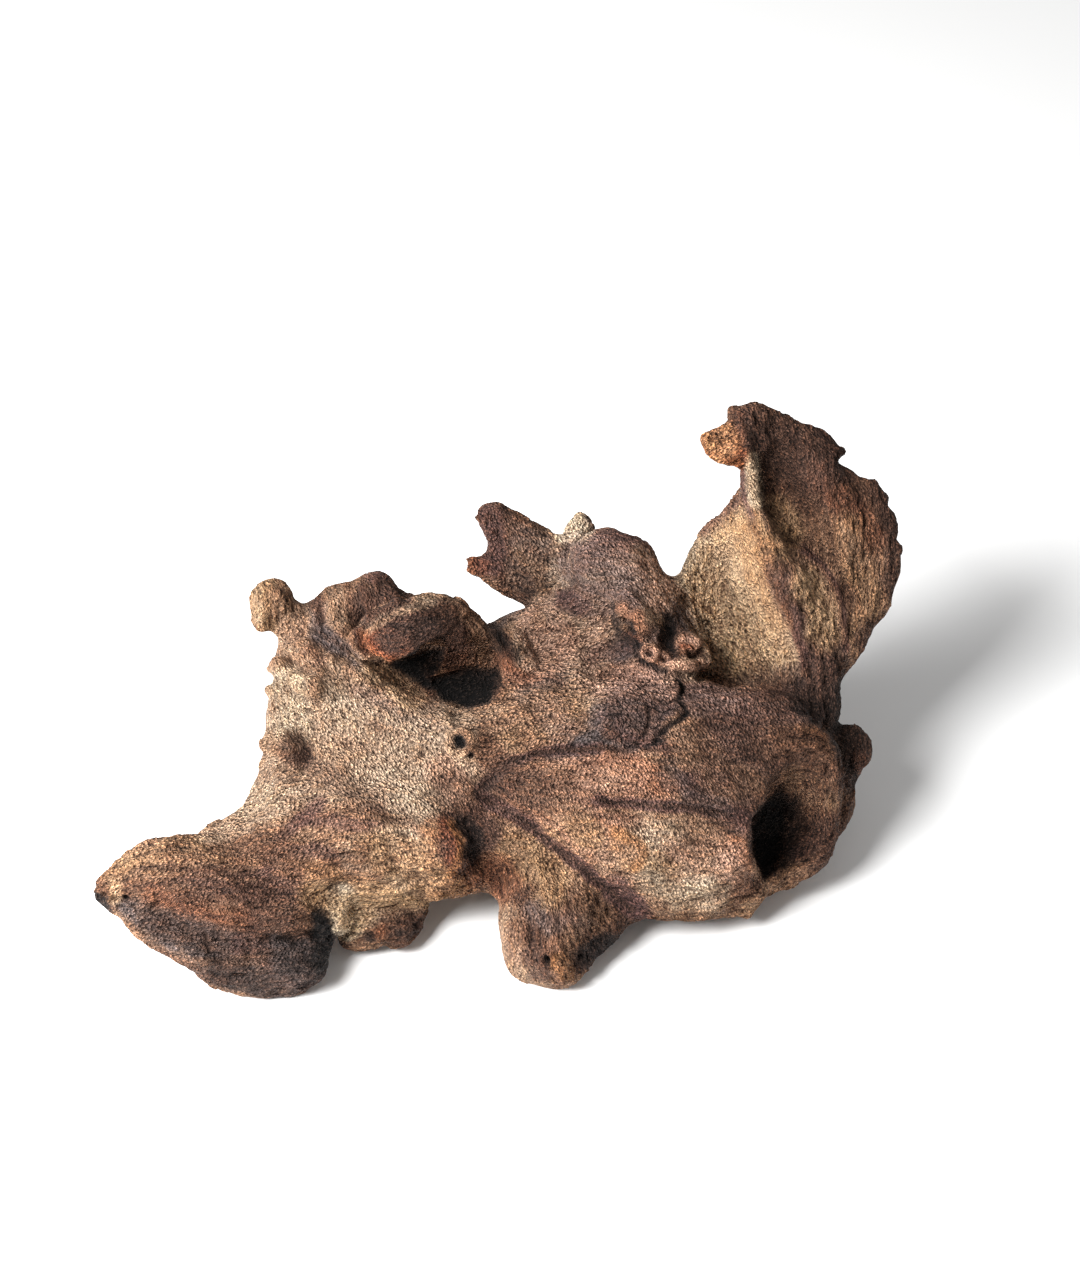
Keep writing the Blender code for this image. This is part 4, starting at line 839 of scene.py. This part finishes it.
    ("umber", 0.6, 1.2, 1.2, [(1045, 842), (1120, 848), (1200, 853), (1290, 866)]),
    # the knots and the ragged edge of the bark, with painted shade in the grooves round the knots and a painted
    # shadow along the bark's stepped edge
    ("soot_and_shade", 0.7, 2, 1.5, [(1068, 452), (1070, 480), (1084, 508), (1108, 524)]),
    ("soot_and_shade", 0.8, 2, 2.0, [(1172, 470), (1184, 498), (1182, 530), (1190, 550)]),
    ("soot_and_shade", 0.75, 1.6, 1.2, [(1116, 528), (1121, 556), (1150, 575), (1172, 580)]),
    ("salmon", 0.9, 2, 2.4, [(1084, 456), (1092, 464)]),
    ("salmon", 0.8, 2, 2.4, [(1116, 470), (1122, 490)]),
    ("blush", 0.9, 1.6, 2.8, [(1134, 544), (1146, 548)]),
    ("blush", 0.85, 1.6, 2.3, [(1164, 556), (1174, 561)]),
    ("blush", 0.9, 1.8, 3.0, [(1204, 526), (1222, 528)]),
    ("blush", 0.85, 1.6, 2.0, [(1188, 571), (1215, 574), (1246, 570)]),
    ("umber", 0.9, 1.2, 0.9, [(1136, 546), (1141, 550)]),
    ("umber", 0.9, 1.2, 0.8, [(1166, 558), (1169, 560)]),
    ("rust", 0.8, 1.4, 1.1, [(1203, 532), (1218, 536)]),
    ("soot_and_shade", 0.9, 1.2, 1.0, [(1104, 484), (1108, 505)]),
    ("soot_and_shade", 0.85, 1.2, 1.0, [(1198, 602), (1207, 618), (1198, 640), (1214, 660), (1205, 674), (1185, 690),
                              (1165, 706), (1150, 720)]),
    ("umber", 0.6, 1.2, 0.8, [(1134, 660), (1137, 684), (1130, 704)]),
    # worm holes: the black inside them is painted shade
    ("tan", 0.8, 2, 3.2, [(765, 715), (780, 735)]),
    ("black", 0.95, 1.0, 1.7, [(755, 718), (759, 729)]),
    ("soot_and_shade", 0.9, 0.8, 1.0, [(780, 749), (783, 751)]),
]

# Soft patches on the sides that the front view doesn't reach: colour, how strong, their size in millimetres, seed.
REAR = [
    ("brown", 0.6, 46, 1), ("sand", 0.7, 34, 2), ("mauve", 0.5, 28, 3), ("umber", 0.5, 22, 4), ("ochre", 0.4, 18, 5),
    ("salmon", 0.5, 26, 6), ("slate", 0.4, 15, 7), ("straw", 0.5, 20, 8),
]


def front_up():
    return np.array((0.0, math.sin(LEAN), math.cos(LEAN)))


def looked_at():
    """The place, in metres, that the camera looks at."""
    x, y, z = VIEW_MIDDLE
    laid_back = np.array((x, z * math.sin(LEAN) + y * math.cos(LEAN), z * math.cos(LEAN) - y * math.sin(LEAN)))
    return (laid_back + MOVED) * MM


def camera_place():
    to_camera = np.array((0.0, -math.cos(LEAN), math.sin(LEAN)))
    return to_camera * CAMERA_AWAY * MM + looked_at()


def view_places(points):
    """Where each point, in metres, is seen from the camera, in steps across and down the view."""
    x, y, z = (points / MM - MOVED).T
    up = y * math.sin(LEAN) + z * math.cos(LEAN)
    away = y * math.cos(LEAN) - z * math.sin(LEAN) - VIEW_MIDDLE[1]
    shrink = CAMERA_AWAY / (CAMERA_AWAY + away)
    across = VIEW_MIDDLE[0] + (x - VIEW_MIDDLE[0]) * shrink
    height = VIEW_MIDDLE[2] + (up - VIEW_MIDDLE[2]) * shrink
    return VIEW_START + np.stack([across, -height], 1) / VIEW_STEP


def noise(points, size, seed):
    """Smooth noise between about -1 and 1, its lumps of that size in the points' own unit."""
    cells = points / size + seed * np.array((17.31, 5.77, 11.13))
    base = np.floor(cells).astype(np.int64)
    part = cells - base
    ease = part**3 * (part * (part * 6 - 15) + 10)
    total = np.zeros(len(points))
    for corner in itertools.product((0, 1), repeat=3):
        corner = np.array(corner)
        key = (base + corner) @ np.array((73856093, 19349663, 83492791)) + 7919 * seed
        slopes = []
        for turn in (1, 2, 3):
            mixed = (key * (2654435761 + 2 * turn)) & 0xFFFFFFFF
            mixed = ((mixed ^ (mixed >> 15)) * 2246822519) & 0xFFFFFFFF
            slopes.append((mixed ^ (mixed >> 13)) % 65536 / 32768 - 1)
        weight = np.prod(np.where(corner, ease, 1 - ease), axis=1)
        total += weight * (np.array(slopes).T * (part - corner)).sum(axis=1)
    return total * 1.5


def layers(points, size, seed, count=3):
    """Noise with finer noise on it, each layer of half the size and the height."""
    return sum(noise(points, size / 2**i, seed + i) / 2**i for i in range(count))


class Skin:
    """The points of a mesh, and what is known of each."""

    def __init__(self, mesh):
        self.mesh = mesh
        self.count = len(mesh.vertices)
        edges = np.empty(len(mesh.edges) * 2, np.int32)
        mesh.edges.foreach_get("vertices", edges)
        self.edges = edges.reshape(-1, 2)
        self.read()

    def read(self):
        points = np.empty(self.count * 3)
        self.mesh.vertices.foreach_get("co", points)
        self.points = points.reshape(-1, 3)
        normals = np.empty(self.count * 3)
        self.mesh.vertices.foreach_get("normal", normals)
        self.normals = normals.reshape(-1, 3)

    def write(self):
        self.mesh.vertices.foreach_set("co", self.points.ravel())
        self.mesh.update()
        self.read()

    def keep_in_box(self):
        low, high = (np.array(corner) for corner in CAD_BOX)
        self.points = np.clip(self.points, low, high)
        self.write()

    def spread(self, values, rounds, share=0.5, weights=None):
        """Each value drawn towards those of its neighbours, rounds times."""
        a, b = self.edges.T
        if weights is None:
            weights = np.ones(len(a))
        total = np.bincount(a, weights, self.count) + np.bincount(b, weights, self.count)
        total = np.maximum(total, 1e-9)
        columns = np.array(values, float).reshape(self.count, -1)
        for _ in range(rounds):
            for k in range(columns.shape[1]):
                column = columns[:, k]
                mean = np.bincount(a, column[b] * weights, self.count)
                mean += np.bincount(b, column[a] * weights, self.count)
                columns[:, k] = column + share * (mean / total - column)
        return columns.reshape(np.shape(values))

    def facets_off(self, rounds):
        """Smooths the facets and keeps the size: each round shrinks a little and swells back."""
        for _ in range(rounds):
            self.points = self.spread(self.points, 1, 0.6)
            self.points = self.spread(self.points, 1, -0.62)
        self.write()


def distance(places, path):
    """How far each place is from the path, in millimetres on the view's plane."""
    found = np.full(len(places), np.inf)
    if len(path) == 1:
        found = np.linalg.norm(places - path[0], axis=1)
    for a, b in zip(path, path[1:]):
        along = np.clip((places - a) @ (b - a) / ((b - a) @ (b - a)), 0, 1)
        found = np.minimum(found, np.linalg.norm(places - a - along[:, None] * (b - a), axis=1))
    return found * VIEW_STEP


def depth_in(places, outline):
    """How deep each place is inside the outline, in millimetres, and below zero outside it."""
    inside = np.zeros(len(places), bool)
    ends = np.roll(outline, -1, axis=0)
    for (ax, ay), (bx, by) in zip(outline, ends):
        if ay == by:
            continue
        crosses = (ay > places[:, 1]) != (by > places[:, 1])
        inside ^= crosses & (places[:, 0] < (bx - ax) * (places[:, 1] - ay) / (by - ay) + ax)
    return np.where(inside, 1, -1) * distance(places, np.vstack([outline, outline[:1]]))


def smooth_line(places):
    """The places joined by a smooth curve."""
    places = np.array(places, float)
    if len(places) < 3:
        return places
    ends = np.vstack([2 * places[0] - places[1], places, 2 * places[-1] - places[-2]])
    made = []
    for a, b, c, d in zip(ends, ends[1:], ends[2:], ends[3:]):
        for t in (0, 0.25, 0.5, 0.75):
            made.append(0.5 * (2 * b + (c - a) * t + (2 * a - 5 * b + 4 * c - d) * t**2
                               + (3 * b - a - 3 * c + d) * t**3))
    made.append(places[-1])
    return np.array(made)


def step_up(values, low, high):
    """0 below low, 1 above high, and a smooth change between."""
    t = np.clip((values - low) / (high - low), 0, 1)
    return t * t * (3 - 2 * t)


def applied(obj):
    """Puts the object's evaluated mesh in place of its own, and drops its modifiers."""
    graph = bpy.context.evaluated_depsgraph_get()
    mesh = bpy.data.meshes.new_from_object(obj.evaluated_get(graph))
    mesh.name = obj.name
    obj.modifiers.clear()
    obj.data = mesh


def merged_copy(node):
    """A copy of the solid with its loose triangles merged."""
    bm = bmesh.new()
    bm.from_mesh(node.data)
    bmesh.ops.remove_doubles(bm, verts=bm.verts, dist=1e-6)
    mesh = bpy.data.meshes.new("weathered_root")
    bm.to_mesh(mesh)
    bm.free()
    mesh.transform(node.matrix_world)
    mesh.materials.clear()
    obj = bpy.data.objects.new("weathered_root", mesh)
    bpy.context.scene.collection.objects.link(obj)
    return obj


def remeshed(obj, voxel):
    remesh = obj.modifiers.new("skin", "REMESH")
    remesh.mode = "VOXEL"
    remesh.voxel_size = voxel * MM
    applied(obj)
    return Skin(obj.data)


def kept(mesh, name):
    """The numbers that store put in the mesh, one for each point."""
    values = np.empty(len(mesh.vertices), np.float32)
    mesh.attributes[name].data.foreach_get("value", values)
    return values.astype(float)


def thinned(obj, seen):
    """Fewer triangles, most of them kept where the front is seen."""
    far = obj.vertex_groups.new(name="rear")
    levels = np.round((1 - seen) * 10).astype(int)
    for level in range(11):
        far.add(np.flatnonzero(levels == level).tolist(), 0.22 + 0.078 * level, "REPLACE")
    thin = obj.modifiers.new("thin out", "DECIMATE")
    thin.use_collapse_triangulate = True
    thin.vertex_group = far.name
    thin.vertex_group_factor = REAR_THINNING
    obj.data.calc_loop_triangles()
    thin.ratio = TRIANGLES / len(obj.data.loop_triangles)
    applied(obj)
    obj.vertex_groups.clear()
    return Skin(obj.data)


def pushed(points):
    """The points after the small pushes of the outline, which act through the whole depth."""
    places = view_places(points)
    moves = np.zeros((len(points), 2))
    for place, by, wide in PUSHES:
        moves += np.exp(-(distance(places, [np.array(place, float)]) / wide) ** 2)[:, None] * by
    across, down = (moves * VIEW_STEP * MM).T
    return points + across[:, None] * np.array((1.0, 0, 0)) - down[:, None] * front_up()


def ways_to_camera(skin):
    ways = camera_place() - skin.points
    return ways / np.linalg.norm(ways, axis=1)[:, None]


def facing_camera(skin):
    return (ways_to_camera(skin) * skin.normals).sum(axis=1)


def seen_share(skin):
    """1 where the camera sees the skin, 0 where it doesn't, with a soft change."""
    tree = BVHTree.FromPolygons([Vector(p) for p in skin.points],
                                [tuple(f.vertices) for f in skin.mesh.polygons])
    ways = ways_to_camera(skin)
    facing = facing_camera(skin)
    seen = np.zeros(skin.count)
    for i in np.flatnonzero(facing > -0.35):
        start = skin.points[i] + skin.normals[i] * 1.5 * MM + ways[i] * 1.0 * MM
        if tree.ray_cast(Vector(start), Vector(ways[i]))[0] is None:
            seen[i] = 1
    seen *= step_up(facing, -0.35, 0.05)
    return step_up(skin.spread(seen, 10), 0.1, 0.6)


def grain_ways(skin, places):
    """The direction of the grain at each point, along the skin, and its angle in the view."""
    two_cos = np.zeros(skin.count)
    two_sin = np.zeros(skin.count)
    for across, down, angle in GRAIN:
        weight = 1 / (((places - (across, down)) ** 2).sum(axis=1) + 55**2) ** 2
        two_cos += weight * math.cos(2 * math.radians(angle))
        two_sin += weight * math.sin(2 * math.radians(angle))
    angle = 0.5 * np.arctan2(two_sin, two_cos)
    ways = np.cos(angle)[:, None] * np.array((1.0, 0, 0)) + np.sin(angle)[:, None] * front_up()
    ways -= skin.normals * (ways * skin.normals).sum(axis=1)[:, None]
    return ways / np.maximum(np.linalg.norm(ways, axis=1), 1e-6)[:, None], angle


def streaks(skin, ways, seed, wide, long):
    """Noise drawn out along the grain: wide and long are rounds of spreading."""
    values = np.random.default_rng(seed).normal(size=skin.count)
    values = skin.spread(values, wide)
    a, b = skin.edges.T
    step = skin.points[b] - skin.points[a]
    step /= np.maximum(np.linalg.norm(step, axis=1), 1e-9)[:, None]
    along = np.abs((step * (ways[a] + np.sign((ways[a] * ways[b]).sum(axis=1))[:, None] * ways[b])).sum(axis=1)) / 2
    values = skin.spread(values, long, 0.7, along**6 + 0.01)
    return values / values.std()


def carve(skin, places, seen):
    """How far each point moves along its normal for the marks of CARVING, in millimetres.

    A ridge or a bump has round edges, and a groove is a ridge below zero. A plate has an outline and a flat top.
    A hole has a raised rim, a crack is sharp, a knob is blunt, and a ring has a dip in its middle.
    """
    lift = np.zeros(skin.count)
    for form, height, wide, marks in CARVING:
        if form == "plate":
            lift += height * step_up(depth_in(places, np.array(marks, float)), -wide, wide) * seen
            continue
        away = distance(places, smooth_line(marks)) / wide
        if form == "hole":
            lift += seen * (height * (1 - step_up(away, 0.35, 1.15)) + 0.9 * np.exp(-((away - 1.7) / 0.55) ** 2))
        elif form == "crack":
            lift += seen * height * np.clip(1.3 - away, 0, 1)
        elif form == "knob":
            lift += seen * height * np.exp(-away**3)
        elif form == "ring":
            lift += seen * height * (np.exp(-((away - 1) / 0.38) ** 2) - 0.7 * np.exp(-((away / 0.55) ** 2)))
        else:
            lift += seen * height * np.exp(-away**2)
    return lift


def colours_of(skin, places, seen, streak):
    """The paint at each point, in display values from 0 to 1."""
    spots = skin.points / MM
    rest = np.tile(np.array(COLOURS["sand"], float), (skin.count, 1))
    for name, strength, size, seed in REAR:
        stretch = spots * (0.55, 1.0, 1.0)
        patch = step_up(layers(stretch, size, 40 + seed) + 0.18 * streak, 0.02, 0.32)
        rest += (patch * strength)[:, None] * (np.array(COLOURS[name]) - rest)
    paint = np.tile(np.array(COLOURS["tan"], float), (skin.count, 1))
    worn = [1 - 0.3 * step_up(layers(spots, 4.5, 60 + 3 * k, 2), 0.0, 0.45) for k in range(4)]
    for i, (name, strength, soft, wide, marks) in enumerate(PAINT):
        if wide:
            cover = step_up(wide - distance(places, smooth_line(marks)), -soft / 2, soft / 2)
        else:
            cover = step_up(depth_in(places, np.array(marks, float)), -soft / 2, soft / 2)
        if soft > 2:
            cover = cover * worn[i % 4]
        paint += (cover * strength)[:, None] * (np.array(COLOURS[name]) - paint)
    return (rest + seen[:, None] * (paint - rest)) / 255


def to_light(values):
    """Display values to the linear ones that shaders use."""
    values = np.clip(values, 0, 1)
    return np.where(values <= 0.04045, values / 12.92, ((values + 0.055) / 1.055) ** 2.4)


def store(mesh, name, values):
    """Keeps one number, or a colour, for each point of the mesh."""
    values = np.asarray(values, np.float32)
    if values.ndim == 1:
        mesh.attributes.new(name, "FLOAT", "POINT").data.foreach_set("value", values)
        return
    filled = np.ones((len(values), 4), np.float32)
    filled[:, :3] = values
    mesh.attributes.new(name, "FLOAT_COLOR", "POINT").data.foreach_set("color", filled.ravel())


def weathered_root(node):
    """The solid with a fine skin in place of its facets: pushed into outline, carved, thinned and painted."""
    obj = merged_copy(node)
    skin = remeshed(obj, ROUGH_VOXEL)
    skin.facets_off(9)
    skin = remeshed(obj, SKIN_VOXEL)
    skin.facets_off(2)
    skin.points = pushed(skin.points)
    skin.write()
    seen = seen_share(skin)
    places = view_places(skin.points)
    spots = skin.points / MM
    ways, _ = grain_ways(skin, places)
    fine = streaks(skin, ways, SEED, 0, 6)
    broad = streaks(skin, ways, SEED + 1, 6, 34)
    on_floor = step_up(spots[:, 2], 0.05, 2.5)
    carved_at = places + warp_of(spots) * 0.5
    lift = carve(skin, carved_at, seen)
    calm = 0.35 + 0.65 * step_up(facing_camera(skin), 0.05, 0.45)
    lift += LUMPS * layers(spots, 9, 3, 2) + calm * (BROAD_STREAKS * broad + FINE_STREAKS * fine) - SUNK
    lift += (1 - seen) * REAR_SWELL * layers(spots, 24, 50)
    skin.points = skin.points + skin.normals * (lift * on_floor)[:, None] * MM
    skin.keep_in_box()
    # How far each point lies in a hollow: the material paints shade in the hollows with it, and lightens worn ridges.
    hollow = skin.spread(skin.points, 10) - skin.points
    hollow = (hollow * skin.normals).sum(axis=1) / MM
    store(obj.data, "hollow", np.clip(hollow, -1, 1))
    store(obj.data, "streak", np.clip(broad / 4, -1, 1))
    store(obj.data, "seen", seen)
    store(obj.data, "bark", step_up(depth_in(carved_at, np.array(BARK, float)), -0.8, 1.0) * seen)
    skin = thinned(obj, seen)
    skin.keep_in_box()
    paint_on(obj, skin)
    obj.data.shade_smooth()
    return obj


def warp_of(spots):
    """Makes the edges of marks irregular, in steps of the view."""
    return np.stack([layers(spots, 9, 20), layers(spots, 9, 30)], 1) * 6


def paint_on(obj, skin):
    places = view_places(skin.points)
    seen = kept(obj.data, "seen")
    paint = colours_of(skin, places + warp_of(skin.points / MM), seen, kept(obj.data, "streak") * 4)
    store(obj.data, "paint", to_light(paint))
    _, angle = grain_ways(skin, places)
    near = [np.cos(angle - math.radians(turn)) ** 2 for turn in GRAIN_TURNS]
    near = np.array(near).T ** 12
    store(obj.data, "grain_side", near / near.sum(axis=1)[:, None])


def group(name, inputs, outputs):
    """An empty node group with those sockets: (name, type, value) and (name, type)."""
    tree = bpy.data.node_groups.new(name, "ShaderNodeTree")
    for label, kind, value in inputs:
        socket = tree.interface.new_socket(label, in_out="INPUT", socket_type=kind)
        if value is not None:
            socket.default_value = value
    for label, kind in outputs:
        tree.interface.new_socket(label, in_out="OUTPUT", socket_type=kind)
    return tree, tree.nodes.new("NodeGroupInput"), tree.nodes.new("NodeGroupOutput")


def math_node(tree, how, first, second=None, third=None, clamp=False):
    node = tree.nodes.new("ShaderNodeMath")
    node.operation = how
    node.use_clamp = clamp
    for socket, value in zip(node.inputs, (first, second, third)):
        if value is None:
            continue
        if isinstance(value, (int, float)):
            socket.default_value = value
        else:
            tree.links.new(value, socket)
    return node.outputs[0]


def mapped(tree, value, low, high, to_low=0.0, to_high=1.0):
    """The value drawn smoothly from one range to another."""
    node = tree.nodes.new("ShaderNodeMapRange")
    node.interpolation_type = "SMOOTHSTEP"
    for label, number in (("From Min", low), ("From Max", high), ("To Min", to_low), ("To Max", to_high)):
        node.inputs[label].default_value = number
    tree.links.new(value, node.inputs["Value"])
    return node.outputs["Result"]


def mixed(tree, share, first, second, how="MIX"):
    """Two colours mixed: each is a colour or a socket, and so is the share of the second."""
    node = tree.nodes.new("ShaderNodeMix")
    node.data_type = "RGBA"
    node.blend_type = how
    for socket, value in ((node.inputs[0], share), (node.inputs[6], first), (node.inputs[7], second)):
        if isinstance(value, (int, float, tuple)):
            socket.default_value = value
        else:
            tree.links.new(value, socket)
    return node.outputs[2]


def blasted_grain_group():
    """Pits and fibres that sandblasting leaves, drawn out along one direction."""
    tree, start, end = group(
        "blasted grain",
        [("Place", "NodeSocketVector", None), ("Turn", "NodeSocketVector", None),
         ("Length", "NodeSocketVector", None), ("Pit Scale", "NodeSocketFloat", PIT_SCALE)],
        [("Height", "NodeSocketFloat"), ("Pits", "NodeSocketFloat")])
    turn = tree.nodes.new("ShaderNodeMapping")
    turn.vector_type = "TEXTURE"
    tree.links.new(start.outputs["Place"], turn.inputs["Vector"])
    tree.links.new(start.outputs["Turn"], turn.inputs["Rotation"])
    tree.links.new(start.outputs["Length"], turn.inputs["Scale"])

    def texture(kind, scale):
        node = tree.nodes.new(kind)
        tree.links.new(turn.outputs[0], node.inputs["Vector"])
        tree.links.new(math_node(tree, "MULTIPLY", start.outputs["Pit Scale"], scale), node.inputs["Scale"])
        return node

    grains = mapped(tree, texture("ShaderNodeTexVoronoi", 0.95).outputs["Distance"], 0.15, 0.8, 1, 0)
    pits = mapped(tree, texture("ShaderNodeTexVoronoi", 0.6).outputs["Distance"], 0.12, 0.42, 1, 0)
    fibres = texture("ShaderNodeTexNoise", 1.4)
    fibres.inputs["Detail"].default_value = 2
    rough = mapped(tree, fibres.outputs[0], 0.36, 0.64)
    height = math_node(tree, "MULTIPLY_ADD", grains, 0.6, math_node(tree, "MULTIPLY", rough, 0.45))
    height = math_node(tree, "MULTIPLY_ADD", pits, -0.55, height)
    tree.links.new(height, end.inputs["Height"])
    tree.links.new(mapped(tree, height, -0.15, 0.5, 1.0, 0.0), end.inputs["Pits"])
    return tree


def root_wood():
    """The paint kept in the mesh, worked over by the grain, the wear and the splits of the bark, with a painted
    highlight on the grain's crests and painted shade in its pits and in the hollows.
    """
    material = bpy.data.materials.new("sandblasted root wood")
    material.use_nodes = True
    tree = material.node_tree
    shader = tree.nodes["Principled BSDF"]
    shader.inputs["Specular IOR Level"].default_value = 0.25
    place = tree.nodes.new("ShaderNodeTexCoord").outputs["Object"]

    def attribute(name, output):
        node = tree.nodes.new("ShaderNodeAttribute")
        node.attribute_name = name
        return node.outputs[output]

    paint = attribute("paint", "Color")
    hollow = attribute("hollow", "Fac")
    streak = attribute("streak", "Fac")
    sides = tree.nodes.new("ShaderNodeSeparateColor")
    tree.links.new(attribute("grain_side", "Color"), sides.inputs[0])
    grain = blasted_grain_group()
    heights, pits = None, None
    for way, turn in zip(sides.outputs, GRAIN_TURNS):
        node = tree.nodes.new("ShaderNodeGroup")
        node.node_tree = grain
        tree.links.new(place, node.inputs["Place"])
        way_turn = Matrix.Rotation(-LEAN, 3, "X") @ Matrix.Rotation(-math.radians(turn), 3, "Y")
        node.inputs["Turn"].default_value = way_turn.to_euler("XYZ")
        node.inputs["Length"].default_value = GRAIN_LENGTH
        height = math_node(tree, "MULTIPLY", node.outputs["Height"], way)
        pit = math_node(tree, "MULTIPLY", node.outputs["Pits"], way)
        heights = height if heights is None else math_node(tree, "ADD", heights, height)
        pits = pit if pits is None else math_node(tree, "ADD", pits, pit)

    blotches = tree.nodes.new("ShaderNodeTexNoise")
    blotches.inputs["Scale"].default_value = 130
    blotches.inputs["Detail"].default_value = 4
    tree.links.new(place, blotches.inputs["Vector"])
    worn = mapped(tree, hollow, 0.02, -0.28)
    # deep is painted shade in the hollows.
    deep = mapped(tree, hollow, 0.02, 0.5)
    colour = mixed(tree, mapped(tree, blotches.outputs[0], 0.35, 0.7, 0.0, 0.35), paint, BLOTCH_TINT, "MULTIPLY")
    colour = mixed(tree, mapped(tree, streak, -0.1, -0.6, 0.0, 0.35), colour, STREAK_TINT, "MULTIPLY")
    colour = mixed(tree, math_node(tree, "MULTIPLY", worn, 0.4), colour, WORN_TINT, "SOFT_LIGHT")
    # Painted highlight on the grain's crests, then the pits darkened with their own dark and painted shade.
    crests = mapped(tree, heights, 0.5, 0.9)
    colour = mixed(tree, crests, colour, CREST_HIGHLIGHT_TINT, "MULTIPLY")
    colour = mixed(tree, crests, colour, CREST_HIGHLIGHT_GLOW, "ADD")
    colour = mixed(tree, math_node(tree, "MULTIPLY", pits, 0.92), colour, PIT_TINT, "MULTIPLY")
    splits = tree.nodes.new("ShaderNodeTexVoronoi")
    splits.feature = "DISTANCE_TO_EDGE"
    splits.inputs["Scale"].default_value = 150
    bend = tree.nodes.new("ShaderNodeTexNoise")
    bend.inputs["Scale"].default_value = 260
    tree.links.new(place, bend.inputs["Vector"])
    bent = tree.nodes.new("ShaderNodeVectorMath")
    bent.operation = "MULTIPLY_ADD"
    bent.inputs[1].default_value = (0.004, 0.004, 0.004)
    tree.links.new(bend.outputs["Color"], bent.inputs[0])
    tree.links.new(place, bent.inputs[2])
    tree.links.new(bent.outputs[0], splits.inputs["Vector"])
    cracked = mapped(tree, splits.outputs["Distance"], 0.0, 0.06, 1, 0)
    cracked = math_node(tree, "MULTIPLY", cracked, attribute("bark", "Fac"))
    cracked = math_node(tree, "MULTIPLY", cracked, mapped(tree, blotches.outputs[0], 0.36, 0.5))
    colour = mixed(tree, math_node(tree, "MULTIPLY", cracked, 0.9), colour, SPLIT_TINT, "MULTIPLY")
    heights = math_node(tree, "MULTIPLY_ADD", cracked, -1.2, heights)
    # Painted shade in the hollows.
    colour = mixed(tree, math_node(tree, "MULTIPLY", deep, 0.55), colour, HOLLOW_SHADE_TINT, "MULTIPLY")
    tree.links.new(colour, shader.inputs["Base Color"])
    tree.links.new(mapped(tree, pits, 0, 1, 0.78, 0.95), shader.inputs["Roughness"])
    bump = tree.nodes.new("ShaderNodeBump")
    bump.inputs["Strength"].default_value = 1.0
    bump.inputs["Distance"].default_value = GRAIN_DEPTH
    tree.links.new(heights, bump.inputs["Height"])
    tree.links.new(bump.outputs[0], shader.inputs["Normal"])
    return material


def floor_material():
    material = bpy.data.materials.new("pale matt floor")
    material.use_nodes = True
    tree = material.node_tree
    shader = tree.nodes["Principled BSDF"]
    shader.inputs["Roughness"].default_value = 0.95
    shader.inputs["Specular IOR Level"].default_value = 0.1
    tone = tree.nodes.new("ShaderNodeTexNoise")
    tone.inputs["Scale"].default_value = 3
    place = tree.nodes.new("ShaderNodeTexCoord").outputs["Object"]
    tree.links.new(place, tone.inputs["Vector"])
    tree.links.new(mixed(tree, tone.outputs[0], *FLOOR_TONES), shader.inputs["Base Color"])
    return material


def floor():
    mesh = bpy.data.meshes.new("floor")
    mesh.from_pydata([(-4, -4, 0), (4, -4, 0), (4, 6, 0), (-4, 6, 0)], [], [(0, 1, 2, 3)])
    obj = bpy.data.objects.new("floor", mesh)
    bpy.context.scene.collection.objects.link(obj)
    mesh.materials.append(floor_material())


def aim(obj, place, at):
    obj.location = place
    obj.rotation_mode = "QUATERNION"
    obj.rotation_quaternion = (Vector(at) - Vector(place)).to_track_quat("-Z", "Y")


def studio():
    scene = bpy.context.scene
    scene.view_settings.view_transform = "Standard"
    for name, place, power, size in LIGHTS:
        light = bpy.data.lights.new(name, "AREA")
        light.energy = power
        light.size = size
        lamp = bpy.data.objects.new(name, light)
        scene.collection.objects.link(lamp)
        aim(lamp, place, LIGHTS_AIM)
    world = bpy.data.worlds.new("soft room")
    world.use_nodes = True
    tree = world.node_tree
    height = tree.nodes.new("ShaderNodeSeparateXYZ")
    tree.links.new(tree.nodes.new("ShaderNodeTexCoord").outputs["Generated"], height.inputs[0])
    sky = tree.nodes["Background"]
    tree.links.new(mapped(tree, height.outputs["Z"], -0.25, 0.35, *ROOM_LIGHT), sky.inputs["Strength"])
    sky.inputs["Color"].default_value = (1, 1, 1, 1)
    scene.world = world


def camera():
    scene = bpy.context.scene
    lens = bpy.data.cameras.new("camera")
    lens.sensor_fit = "VERTICAL"
    lens.sensor_height = SENSOR
    lens.lens = CAMERA_AWAY * SENSOR / FRAME_HEIGHT
    lens.clip_start = 0.01
    obj = bpy.data.objects.new("camera", lens)
    scene.collection.objects.link(obj)
    aim(obj, camera_place(), looked_at())
    scene.camera = obj


root = weathered_root(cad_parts["mopani_root"])
root.data.materials.append(root_wood())
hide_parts("mopani_root")
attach(root, "root")
floor()
studio()
camera()
